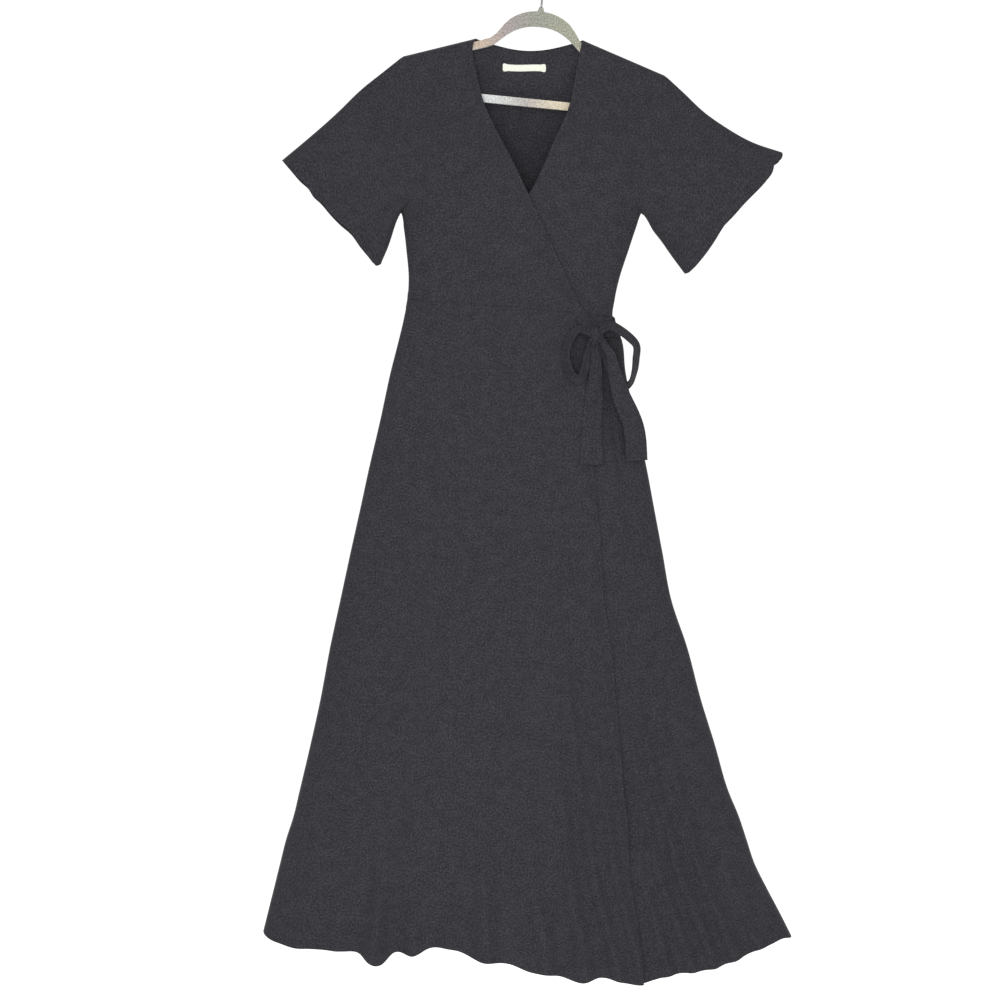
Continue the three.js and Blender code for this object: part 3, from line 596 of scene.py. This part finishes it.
def fill_in(node, inputs):
    """Sets some of a node's inputs, by their names with _ for a space."""
    for key, value in inputs.items():
        node.inputs[key.replace("_", " ")].default_value = value
    return node


def node_in(tree, kind, **inputs):
    """A shader node with some of its inputs set."""
    return fill_in(spread_out(tree, kind), inputs)


def texture(tree, kind, places, **inputs):
    """A texture, read at the places that another node gives."""
    made = node_in(tree, kind, **inputs)
    tree.links.new(places, made.inputs["Vector"])
    return made


def cloth_places(tree):
    """Metres across and down the cloth, from its UV map."""
    made = spread_out(tree, "ShaderNodeUVMap")
    made.uv_map = "cloth"
    return made.outputs["UV"]


def relief(tree, shader, height, **inputs):
    """Gives a shader a bumpy surface."""
    bump = node_in(tree, "ShaderNodeBump", **inputs)
    tree.links.new(height, bump.inputs["Height"])
    tree.links.new(bump.outputs["Normal"], shader.inputs["Normal"])


def new_material(name, base, roughness, **principled):
    """A material and its shader, with what is the same all over set on the shader itself."""
    material = bpy.data.materials.new(name)
    material.use_nodes = True
    shader = material.node_tree.nodes["Principled BSDF"]
    fill_in(shader, {"Base_Color": (*base, 1), "Roughness": roughness, **principled})
    return material, material.node_tree, shader


def ramp(tree, source, stops):
    """A colour ramp from (place, colour) stops."""
    made = spread_out(tree, "ShaderNodeValToRGB")
    elements = made.color_ramp.elements
    for element, (place, colour) in zip(elements, (stops[0], stops[-1])):
        element.position, element.color = place, (*colour, 1)
    for place, colour in stops[1:-1]:
        elements.new(place).color = (*colour, 1)
    tree.links.new(source, made.inputs["Fac"])
    return made.outputs["Color"]


def arithmetic(tree, operation, *values):
    """A maths node on up to three values, each a number or another node's output."""
    made = spread_out(tree, "ShaderNodeMath")
    made.operation = operation
    for socket, value in zip(made.inputs, values):
        if isinstance(value, (int, float)):
            socket.default_value = value
        else:
            tree.links.new(value, socket)
    return made.outputs[0]


def between(tree, source, low, high):
    """Spreads a texture's value between two numbers."""
    made = node_in(tree, "ShaderNodeMapRange", To_Min=low, To_Max=high)
    tree.links.new(source, made.inputs["Value"])
    return made.outputs["Result"]


def crepe():
    """Matte black crepe: a pebbled grain, faint cloudy tone, and rows of sunken stitches."""
    material, tree, shader = new_material(
        "black_crepe", (0.018, 0.0174, 0.0214), 0.9,
        Sheen_Weight=0.03, Sheen_Roughness=0.5, Specular_IOR_Level=0.12)
    shader.inputs["Sheen Tint"].default_value = (0.74, 0.74, 0.8, 1)
    link_up = tree.links.new
    cloth = cloth_places(tree)
    place = node_in(tree, "ShaderNodeTexCoord").outputs["Object"]

    cloud = texture(tree, "ShaderNodeTexNoise", place, Scale=70, Detail=4, Roughness=0.6)
    mottle = texture(tree, "ShaderNodeTexNoise", cloth, Scale=380, Detail=3, Roughness=0.8)
    tone = arithmetic(tree, "ADD",
                      arithmetic(tree, "MULTIPLY", cloud.outputs["Fac"], 0.14),
                      arithmetic(tree, "MULTIPLY", mottle.outputs["Fac"], 0.86))
    colour = ramp(tree, tone, [
        (0.38, (0.0077, 0.0076, 0.0091)), (0.5, (0.0177, 0.0174, 0.0209)), (0.62, (0.0333, 0.0326, 0.0386))])
    link_up(colour, shader.inputs["Base Color"])

    pebble = texture(tree, "ShaderNodeTexVoronoi", cloth, Scale=620, Randomness=1)
    thread = texture(tree, "ShaderNodeTexNoise", cloth, Scale=1500, Detail=2)
    grain = arithmetic(tree, "ADD", pebble.outputs["Distance"],
                       arithmetic(tree, "MULTIPLY", thread.outputs["Fac"], 0.5))

    stitch = node_in(tree, "ShaderNodeAttribute")
    stitch.attribute_name = "stitch"
    split = node_in(tree, "ShaderNodeSeparateXYZ")
    link_up(cloth, split.inputs[0])
    along = arithmetic(tree, "ADD", split.outputs["X"], split.outputs["Y"])
    turns = arithmetic(tree, "MULTIPLY", along, 2 * math.pi / STITCH_LENGTH)
    wave = arithmetic(tree, "SINE", turns)
    dashed = arithmetic(tree, "GREATER_THAN", wave, -0.45)
    near = arithmetic(tree, "ABSOLUTE", stitch.outputs["Fac"])
    close = arithmetic(tree, "LESS_THAN", near, STITCH_HALF)
    thread_row = arithmetic(tree, "MULTIPLY", close, dashed)
    height = arithmetic(tree, "ADD", arithmetic(tree, "MULTIPLY", grain, 0.5), thread_row)
    relief(tree, shader, height, Strength=0.5, Distance=0.0005)
    link_up(between(tree, mottle.outputs["Fac"], 0.82, 0.98), shader.inputs["Roughness"])
    return material


def mixed(tree, first, second, factor=1.0, blend="MULTIPLY"):
    """Two colours mixed, by default one times the other."""
    mix = spread_out(tree, "ShaderNodeMix")
    mix.data_type, mix.blend_type = "RGBA", blend
    if isinstance(factor, float):
        mix.inputs["Factor"].default_value = factor
    else:
        tree.links.new(factor, mix.inputs["Factor"])
    tree.links.new(first, mix.inputs["A"])
    tree.links.new(second, mix.inputs["B"])
    return mix.outputs["Result"]


def flock():
    """Short light grey flock on the hanger, tinted along it, speckled, and painted paler on the bar as
    painted light.
    """
    material, tree, shader = new_material(
        "grey_flock", (0.18, 0.177, 0.164), 1.0,
        Sheen_Weight=0.3, Sheen_Roughness=0.6, Specular_IOR_Level=0.2)
    place = node_in(tree, "ShaderNodeTexCoord").outputs["Object"]
    fibre = texture(tree, "ShaderNodeTexNoise", place, Scale=420, Detail=4, Roughness=0.75)
    split = node_in(tree, "ShaderNodeSeparateXYZ")
    tree.links.new(place, split.inputs[0])
    along = arithmetic(tree, "MULTIPLY_ADD", split.outputs["X"], 5, 0.5)
    below = arithmetic(tree, "MULTIPLY", split.outputs["Z"], -5)
    arms = ramp(tree, along, [
        (0.03, (0.304, 0.246, 0.194)), (0.21, (0.211, 0.184, 0.18)),
        (0.44, (0.173, 0.179, 0.152)), (0.65, (0.198, 0.2, 0.155))])
    # The bar's colours are paler than the arms': painted light, for the bar being lit more brightly than the
    # arms.
    bar = ramp(tree, along, [
        (0.075, (0.42, 0.435, 0.43)), (0.35, (0.265, 0.25, 0.235)), (0.59, (0.41, 0.36, 0.27))])
    painted_light_on_bar = ramp(tree, below, [(0.57, (0, 0, 0)), (0.63, (1, 1, 1))])
    tint_and_painted_light = mixed(tree, arms, bar, painted_light_on_bar, "MIX")
    speckle = ramp(tree, fibre.outputs["Fac"], [
        (0.36, (0.56, 0.56, 0.56)), (0.64, (1.44, 1.44, 1.44))])
    tree.links.new(mixed(tree, tint_and_painted_light, speckle), shader.inputs["Base Color"])
    relief(tree, shader, fibre.outputs["Fac"], Strength=0.6, Distance=0.0004)
    return material


def label_satin():
    """Plain white woven satin, with fine ribs along the label."""
    material, tree, shader = new_material("label_satin", (0.465, 0.475, 0.405), 0.5, Sheen_Weight=0.1)
    ribs = texture(tree, "ShaderNodeTexWave", cloth_places(tree), Scale=260, Distortion=0.6)
    ribs.bands_direction = "Y"
    tree.links.new(ramp(tree, ribs.outputs["Fac"], [
        (0.2, (0.44, 0.45, 0.385)), (0.8, (0.49, 0.5, 0.425))]), shader.inputs["Base Color"])
    relief(tree, shader, ribs.outputs["Fac"], Strength=0.3, Distance=0.0002)
    return material


def hook_steel():
    """Plated wire with faint drawing marks."""
    material, tree, shader = new_material("hook_steel", (0.21, 0.21, 0.22), 0.3, Metallic=1)
    place = node_in(tree, "ShaderNodeTexCoord").outputs["Object"]
    marks = texture(tree, "ShaderNodeTexNoise", place, Scale=400, Detail=3)
    tree.links.new(between(tree, marks.outputs["Fac"], 0.16, 0.34), shader.inputs["Roughness"])
    return material


# The panels of the dress

def bodice_side(side, v):
    """A bodice panel's outer edge: up the side seam, then round the armhole."""
    share = 0.4
    bottom, underarm, shoulder = WAIST[side], UNDERARM[side][1], SHOULDER[side][1]
    low = lerp(bottom, underarm, v / share)
    high = lerp(underarm, shoulder, (v - share) / (1 - share))
    z = np.where(v < share, low, high)
    edge = left_side if side == "left" else right_side
    return np.where(v < share, edge(z), armhole[side](z)), z


def front_bodice_form(side, neckline, waist_z):
    """A bodice front from its side seam and armhole to its neckline."""
    def form(u, v):
        side_x, side_z = bodice_side(side, v)
        edge_z = lerp(waist_z, NECK[side][1], v)
        across = u if side == "left" else 1 - u
        share = lerp((1 - np.cos(across * np.pi)) / 2, across, 0.35)
        x, z = lerp(side_x, neckline(edge_z), share), lerp(side_z, edge_z, share)
        y = half_depth("front", x, z)
        y = y + crease_depth("bodice_front", x, z) * inside(v, 0.03, 0.06) * smooth(across, 0, 0.15)
        y = y + waist_seam(x, z - waist_line(x))
        y = y + armhole_dent(side, x, z)
        from_edge = np.abs(neckline(z) - x) * 0.9
        y = y + 0.7 * smooth(9 - from_edge, 0, 9) - 0.6 * hill(from_edge - FACING_STITCH, 1.8)
        if side == "right":
            y = y - tucked(x, z, over_neckline(z))
        return x, -np.maximum(y, 0), z, from_edge - FACING_STITCH
    return form


def back_bodice_form(u, v):
    (left_x, left_z), (right_x, right_z) = bodice_side("left", v), bodice_side("right", v)
    share = (1 + np.cos(u * np.pi)) / 2
    share = lerp(share, 1 - u, 0.45)
    x = lerp(left_x, right_x, share)
    neck = np.clip((x - NECK["left"][0]) / (NECK["right"][0] - NECK["left"][0]), 0, 1)
    top = shoulder_line(x) - NECK_DROP * np.sin(neck * np.pi) ** 1.1
    chord = lerp(SHOULDER["left"][1], SHOULDER["right"][1], share)
    z = lerp(left_z, right_z, share) + (top - chord) * v
    y = half_depth("back", x, z)
    quiet = inside(v, 0.03, 0.08) * inside(share, 0.04, 0.04)
    y = y + crease_depth("bodice_back", x, z) * quiet + waist_seam(x, z - waist_line(x))
    for side in ("left", "right"):
        y = y + armhole_dent(side, x, z)
    from_neck = top - z + 60 * (1 - smooth(np.sin(neck * np.pi), 0.05, 0.2))
    y = y - 0.5 * hill(from_neck - FACING_STITCH, 2)
    return x, np.maximum(y, 0), z, from_neck - FACING_STITCH


def right_seam(z):
    """The side seam on the wearer's right, as a share of the width."""
    return 0 * z


def left_seam(z):
    return 1 + 0 * z


def past_over_skirt(share, z):
    """Nought where the over skirt covers the under one, rising to 1 beyond its edge."""
    return smooth(share - over_skirt_edge(z), -0.005, 0.055)


def skirt_form(face, low_edge, high_edge, uncovered=None, stitched_edge=None):
    """A skirt panel between two edges given as shares of the width."""
    def form(u, v):
        across = u if face == "front" else 1 - u
        z = lerp(SKIRT["hem"], SKIRT["waist"], v)
        for _ in range(3):      # the edges and the lines depend on each other
            share = lerp(low_edge(z), high_edge(z), across)
            top = waist_line(at_share(share, WAIST["left"])) + TUCK
            z = lerp(hem_line[face](share), top, v)
        x = at_share(share, z)
        waist = waist_line(x)
        folded = 1.0 if uncovered is None else uncovered(share, z)
        y = half_depth(face, x, z, folded)
        middle = inside(share, 0.05, 0.05)
        y = y + crease_depth(f"skirt_{face}", x, z) * middle * folded
        y = y + waist_seam(x, z - waist) * lerp(0.4, 1, middle) - 1.2 * smooth(z - waist, -0.5, 1.5)
        rise = z - hem_line[face](share)
        y = y + hem_roll(rise, HEM_DEEP) * middle
        stitch = rise - HEM_DEEP
        if uncovered is not None:
            y = y - tucked(x, z, at_share(over_skirt_edge(z), z))
        if stitched_edge is not None:
            from_edge = np.abs(at_share(stitched_edge(z), z) - x)
            y = y - 0.45 * hill(from_edge - FACING_STITCH, 2)
            stitch = smallest(stitch, from_edge - FACING_STITCH)
        return x, -np.maximum(y, 0) if face == "front" else np.maximum(y, 0), z, stitch
    return form


def sleeve_form(side):
    """A flared sleeve as a tube, from inside the armhole to the cuff."""
    top_x, top_z, under_x, under_z, depth = (
        column(SLEEVES[side], "along", name) for name in ("top_x", "top_z", "under_x", "under_z", "depth"))
    out = -1 if side == "left" else 1
    past = column(CUFF_EDGE[side], "down", "past")
    across_cuff = np.array([out * (under_z(1) - top_z(1)), -out * (under_x(1) - top_x(1))])
    beyond = -across_cuff / np.hypot(*across_cuff)

    def form(u, v):
        turn = 2 * np.pi * (u if side == "left" else 1 - u)
        along = lerp(-0.02, 1, v)
        down = (1 - np.cos(turn)) / 2
        front = np.sin(turn) >= 0
        at = np.clip(along, 0, 1)
        x, z = lerp(top_x(at), under_x(at), down), lerp(top_z(at), under_z(at), down)
        seam_z = lerp(SHOULDER[side][1], UNDERARM[side][1], down)
        seam_x = armhole[side](seam_z)
        leaving = (1 - at) ** 3
        under_bodice = out * TUCK * smooth(-along, -0.02, 0.02)
        x = x + (seam_x - lerp(top_x(0), under_x(0), down)) * leaving - under_bodice
        z = z + (seam_z - lerp(top_z(0), under_z(0), down)) * leaving
        near_cuff = smooth(at, 0.7, 1) * past(down)
        x, z = x + beyond[0] * near_cuff, z + beyond[1] * near_cuff
        seam_y = np.where(front, half_depth("front", seam_x, seam_z), half_depth("back", seam_x, seam_z))
        waves = CUFF_WAVES["out"] * at ** 2 * np.sin(CUFF_WAVES["count"] * turn + out)
        bulge = (depth(at) + waves) * np.abs(np.sin(turn)) ** 0.85
        y = lerp(seam_y, bulge, smooth(at, 0, 0.5))
        degrees = np.degrees(turn)
        for crease in SLEEVE_CREASES:
            t = (along - crease["along0"]) / (crease["along1"] - crease["along0"])
            middle = lerp(crease["turn0"], crease["turn1"], np.clip(t, 0, 1))
            fade = smooth(t, -0.05, 0.3) * smooth(1 - t, -0.1, 0.4)
            y = y + crease["out"] * fade * hill(degrees - middle, crease["half"])
        y = y + (seam_dent(at * SLEEVE_LENGTH) - 1.2 * smooth(-along, 0, 0.006)) * np.abs(np.sin(turn)) ** 0.5
        rise = (1 - along) * SLEEVE_LENGTH
        y = y + hem_roll(rise, CUFF_DEEP) * np.abs(np.sin(turn)) ** 0.5
        return x, np.where(front, -y, y), z, rise - CUFF_DEEP
    return form


# The ties

def ring_point(turn, z):
    """A point of the body's ring at a height, from the wearer's left side seam round the back."""
    x = at_share((1 + np.cos(turn)) / 2, z)
    back = np.sin(turn) >= 0
    y = np.where(back, half_depth("back", x, z), -half_depth("front", x, z))
    return x, y


def strap_back_form(u, v):
    """The strap from the slit in the side seam, round the back to the knot."""
    turn = np.radians(lerp(TIE["slit"], TIE["knot_turn"], u))
    falling = smooth(turn, math.radians(TIE["knot_turn"]), 0)
    x, _ = ring_point(turn, np.full_like(turn, WAIST["left"]))
    middle = waist_line(x) - lerp(TIE["drop"], 0, smooth(turn, math.radians(TIE["knot_turn"]), 0.7))
    z = middle + (v - 0.5) * lerp(TIE["knot_width"], TIE["strap"], falling)
    x, y = ring_point(turn, z)
    before, after = ring_point(turn - 0.02, z), ring_point(turn + 0.02, z)
    away = np.stack([after[1] - before[1], before[0] - after[0]])
    away /= np.linalg.norm(away, axis=0)
    lines = np.sin(v * 9 + 2.2 * np.sin(u * 23)) * 0.45 + np.cos(u * 61 + v * 5) * 0.25
    lift = TIE["lift"] + (lines - 0.4 * hill(np.minimum(v, 1 - v) - 0.12, 0.06)) * falling
    lift = lift * smooth(u, -0.02, 0.05)
    edge = np.minimum(v, 1 - v) * lerp(TIE["knot_width"], TIE["strap"], falling)
    return x + away[0] * lift, y + away[1] * lift, z, edge - TIE["stitch"]


def ribbon_form(points, pleats, seed):
    """A ribbon along a table's rows, gathered at the start, the end or both, where it meets the knot."""
    rows = [dict(row, place=i / (len(points) - 1)) for i, row in enumerate(points)]
    read = {name: column(rows, "place", name) for name in ("x", "y", "z", "width", "tilt")}

    def form(u, v):
        middle = np.stack([read[name](v) for name in "xyz"])
        step = 0.004
        low, high = np.clip(v - step, 0, 1), np.clip(v + step, 0, 1)
        along = np.stack([read[name](high) - read[name](low) for name in "xyz"])
        along /= np.linalg.norm(along, axis=0)
        inward = np.stack([np.zeros_like(v), np.ones_like(v), np.zeros_like(v)])
        sideways = np.cross(along, inward, axis=0)
        sideways /= np.linalg.norm(sideways, axis=0)
        tilt = np.radians(read["tilt"](v))
        across = inward * np.cos(tilt) + sideways * np.sin(tilt)
        face = np.cross(across, along, axis=0)
        start = hill(v, TIE["gathered"]) if pleats != "end" else 0
        end = hill(1 - v, TIE["gathered"]) if pleats != "start" else 0
        gather = np.sin(u * 13 + seed + 1.2 * np.sin(v * 7)) * (0.12 + start + end)
        crush = 0.7 * np.sin(v * 17 + u * 3 + seed) * np.sin(u * np.pi) + 0.4 * np.sin(v * 31 - u * 5)
        cup = 1.5 * (0.25 - (u - 0.5) ** 2)
        edge = np.minimum(u, 1 - u) * read["width"](v)
        p = middle + across * (u - 0.5) * read["width"](v)
        p = p + face * (cup + gather + crush * (1 - start) - 0.25 * hill(edge - TIE["stitch"], 1.2))
        surface = -half_depth("front", p[0], p[2])
        if pleats == "end":
            p[1] = surface - lerp(-1.6, TIE["lift"], smooth(v, 0.15, 0.5)) - (cup + gather) * v
        else:
            p[1] = np.minimum(p[1], surface - TIE["lift"])
        return p[0], p[1], p[2], edge - TIE["stitch"]
    return form


def knot_piece(material):
    """The knot: a soft lump with one wrap of the tie drawn tight across it."""
    bm = bmesh.new()
    bmesh.ops.create_icosphere(bm, subdivisions=5, radius=1)
    wrap_axis = Vector((0.92, 0.1, 0.38)).normalized()
    for vert in bm.verts:
        n = vert.co.normalized()
        wrap = n.dot(wrap_axis)
        band = 1 / (1 + math.exp((abs(wrap) - 0.5) / 0.045))
        folds = 0.055 * math.sin(9 * n.z + 5 * n.x) + 0.04 * math.sin(13 * n.x - 7 * n.z + 1)
        lines = 0.03 * math.sin(26 * wrap + 2 * n.z)
        swell = 0.9 + folds * (1 - band) + band * (0.1 + lines)
        vert.co = Vector((n.x * KNOT["wide"], n.y * KNOT["deep"], n.z * KNOT["tall"])) * swell * MM
        vert.co += Vector((KNOT["x"], KNOT["y"], KNOT["z"])) * MM
    mesh = mesh_of(bm, "knot")
    front_view = numbers_of(mesh.vertices, "co", 3).reshape(-1, 3)[:, [0, 2]]
    lay_cloth(mesh, front_view, np.full(len(mesh.vertices), OFF_SEAM, float))
    link("knot", mesh, material, "tie_knot")


# The label and the hanger

def label_form(u, v):
    """The label inside the back neck, with its two ends folded under and sewn."""
    x = LABEL["x"] + (0.5 - u) * LABEL["width"]
    end = np.abs(u - 0.5)
    height = LABEL["height"] * (0.82 + 0.18 * smooth(end, 0.36, 0.46) - 0.4 * smooth(end, 0.465, 0.5) ** 3)
    z = LABEL["z"] + (v - 0.5) * height + 0.5 * np.sin(u * 7) + 1.2 * (u - 0.5)
    inward = WALL / 2 + LABEL["gap"] + LABEL["thick"] / 2
    curl = 0.5 * smooth(end, 0.4, 0.5) + 0.25 * hill(end - LABEL["stitch"], 0.01)
    y = half_depth("back", x, z) - inward - curl - 0.2 * np.sin(u * 11)
    return x, y, z, (end - LABEL["stitch"]) * LABEL["width"]


def hanger_body_piece(material):
    """The flat body of the hanger with its edges rounded over."""
    bm = bmesh.new()
    bm.from_mesh(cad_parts["hanger_body"].data)
    bmesh.ops.remove_doubles(bm, verts=bm.verts, dist=0.01 * MM)
    bmesh.ops.dissolve_limit(bm, angle_limit=math.radians(1), verts=bm.verts, edges=bm.edges)
    rims = [edge for edge in bm.edges if len(edge.link_faces) == 2 and edge.calc_face_angle(0) > RIM["sharp"]
            and abs((edge.verts[0].co - edge.verts[1].co).normalized().y) < 0.5]
    bmesh.ops.bevel(bm, geom=rims, offset=RIM["radius"] * MM, offset_type="OFFSET", segments=RIM["steps"],
                    profile=0.5, affect="EDGES", material=-1, clamp_overlap=True)
    link("hanger_flocked", mesh_of(bm, "hanger_flocked"), material, "hanger_body")


def hook_piece(material):
    """The wire hook, swept along its curve, with its ends closed flat."""
    middle = HOOK["radius"] + HOOK["wire"] / 2
    centre = -HOOK["radius"]
    path = [(0, z) for z in np.linspace(HOOK["foot"], centre - HOOK["stem"], 5)]
    path += [(x, centre - below) for x, below in HOOK_BEND]
    for degrees in np.linspace(HOOK["start"], HOOK["end"], 36):
        turn = math.radians(degrees)
        path.append((middle * math.cos(turn), centre + middle * math.sin(turn)))
    tilt = Matrix.Rotation(TILT, 4, "Y")
    points = [tilt @ Vector((x, 0, z)) * MM for x, z in path]
    bm = bmesh.new()
    bmesh.ops.create_circle(bm, segments=20, radius=HOOK["wire"] / 2 * MM, cap_ends=False)
    ring = list(bm.verts)
    start = (points[1] - points[0]).to_track_quat("Z", "Y").to_matrix().to_4x4()
    bmesh.ops.transform(bm, matrix=Matrix.Translation(points[0]) @ start, verts=ring)
    facing = (points[1] - points[0]).normalized()
    first = [edge for edge in bm.edges]
    edges, here = first, points[0]
    for i in range(1, len(points)):
        ahead = points[min(i + 1, len(points) - 1)] - points[i - 1]
        turned = facing.rotation_difference(ahead.normalized()).to_matrix().to_4x4()
        grown = bmesh.ops.extrude_edge_only(bm, edges=edges)["geom"]
        ring = [item for item in grown if isinstance(item, bmesh.types.BMVert)]
        edges = [item for item in grown if isinstance(item, bmesh.types.BMEdge)]
        move = Matrix.Translation(points[i]) @ turned @ Matrix.Translation(-here)
        bmesh.ops.transform(bm, matrix=move, verts=ring)
        facing, here = ahead.normalized(), points[i]
    for loop in (first, edges):
        bmesh.ops.edgeloop_fill(bm, edges=loop)
    bmesh.ops.recalc_face_normals(bm, faces=bm.faces)
    link("hook_wire", mesh_of(bm, "hook_wire"), material, "hanger_hook")


# The camera, the lights and the floor

def make_camera():
    """The photograph's own place, looking level at the dress."""
    data = bpy.data.cameras.new("camera")
    data.sensor_width = CAMERA["sensor"]
    data.lens = data.sensor_width * -CAMERA["y"] / CAMERA["across"]
    camera = bpy.data.objects.new("camera", data)
    camera.location = Vector((CAMERA["x"], CAMERA["y"], CAMERA["z"])) * MM
    camera.rotation_euler = (math.pi / 2, 0, 0)
    bpy.context.scene.collection.objects.link(camera)
    bpy.context.scene.camera = camera


def make_light(name, at, aim, size, power):
    data = bpy.data.lights.new(name, "AREA")
    data.shape, data.size, data.energy = "DISK", size, power
    light = bpy.data.objects.new(name, data)
    light.location = at
    light.rotation_euler = (Vector(aim) - Vector(at)).to_track_quat("-Z", "Y").to_euler()
    bpy.context.scene.collection.objects.link(light)


def make_floor():
    """A plain pale floor well below the hem."""
    material, tree, shader = new_material("pale_floor", (0.95, 0.95, 0.945), 0.9)
    place = node_in(tree, "ShaderNodeTexCoord").outputs["Object"]
    speck = texture(tree, "ShaderNodeTexNoise", place, Scale=30, Detail=2)
    tree.links.new(ramp(tree, speck.outputs["Fac"], [
        (0.3, (0.94, 0.94, 0.935)), (0.7, (0.96, 0.96, 0.955))]), shader.inputs["Base Color"])
    bm = bmesh.new()
    bmesh.ops.create_grid(bm, x_segments=1, y_segments=1, size=FLOOR["half"])
    bmesh.ops.translate(bm, vec=(0, 0, FLOOR["z"]), verts=bm.verts)
    mesh = mesh_of(bm, "floor")
    mesh.materials.append(material)
    floor = bpy.data.objects.new("floor", mesh)
    bpy.context.scene.collection.objects.link(floor)


def light_studio():
    """A plain white surround and soft lights in front, behind and over the floor."""
    scene = bpy.context.scene
    scene.view_settings.view_transform = "Standard"
    world = bpy.data.worlds.new("studio")
    world.use_nodes = True
    background = world.node_tree.nodes["Background"]
    background.inputs["Color"].default_value = (1, 1, 1, 1)
    background.inputs["Strength"].default_value = SURROUND
    scene.world = world
    for light in LIGHTS:
        make_light(**light)


def main():
    make_camera()
    make_floor()
    light_studio()

    black = crepe()
    rows = spaced((0, 0.07, 14), (0.07, 1, 74))
    sheet_of_cloth("front_bodice_over", 84, rows,
                   front_bodice_form("left", over_neckline, OVER_NECKLINE[0]["z"]), black,
                   "bodice_front_over")
    sheet_of_cloth("front_bodice_under", 84, rows,
                   front_bodice_form("right", under_neckline, UNDER_NECKLINE[0]["z"]), black,
                   "bodice_front_under")
    sheet_of_cloth("back_bodice", 140, rows, back_bodice_form, black, "bodice_back")

    rows = spaced((0, 0.036, 18), (0.036, 0.975, 124), (0.975, 1, 12))
    sheet_of_cloth("front_skirt_over", 200, rows,
                   skirt_form("front", right_seam, over_skirt_edge, stitched_edge=over_skirt_edge),
                   black, "skirt_front_over")
    sheet_of_cloth("front_skirt_under", 180, rows,
                   skirt_form("front", under_skirt_edge, left_seam, uncovered=past_over_skirt),
                   black, "skirt_front_under")
    sheet_of_cloth("back_skirt", 240, rows, skirt_form("back", right_seam, left_seam), black, "skirt_back")

    rows = spaced((0, 0.08, 18), (0.08, 0.86, 42), (0.86, 1, 22))
    for side, wearer in (("left", "right"), ("right", "left")):
        sheet_of_cloth(f"{wearer}_sleeve", 150, rows, sleeve_form(side), black, f"sleeve_wearer_{wearer}",
                       tube=True)

    sheet_of_cloth("strap_round_back", 220, 16, strap_back_form, black, "tie_strap_back", TIE["wall"])
    for name, across, rows, points, pleats, seed, node in (
        ("strap_front", 20, 40, STRAP_FRONT, "end", 1, "tie_strap_front"),
        ("bow_loop_outer", 20, 130, LOOP_OUTER, "both", 0.4, "tie_loop_outer"),
        ("bow_loop_inner", 20, 120, LOOP_INNER, "both", 2, "tie_loop_inner"),
        ("bow_tail_inner", 24, 90, TAIL_INNER, "start", 0.9, "tie_tail_inner"),
        ("bow_tail_outer", 24, 100, TAIL_OUTER, "start", 3, "tie_tail_outer"),
    ):
        sheet_of_cloth(name, across, rows, ribbon_form(points, pleats, seed), black, node, TIE["wall"])
    knot_piece(black)

    sheet_of_cloth("blank_label", 60, 12, label_form, label_satin(), "neck_label", LABEL["thick"])
    hanger_body_piece(flock())
    hook_piece(hook_steel())


main()
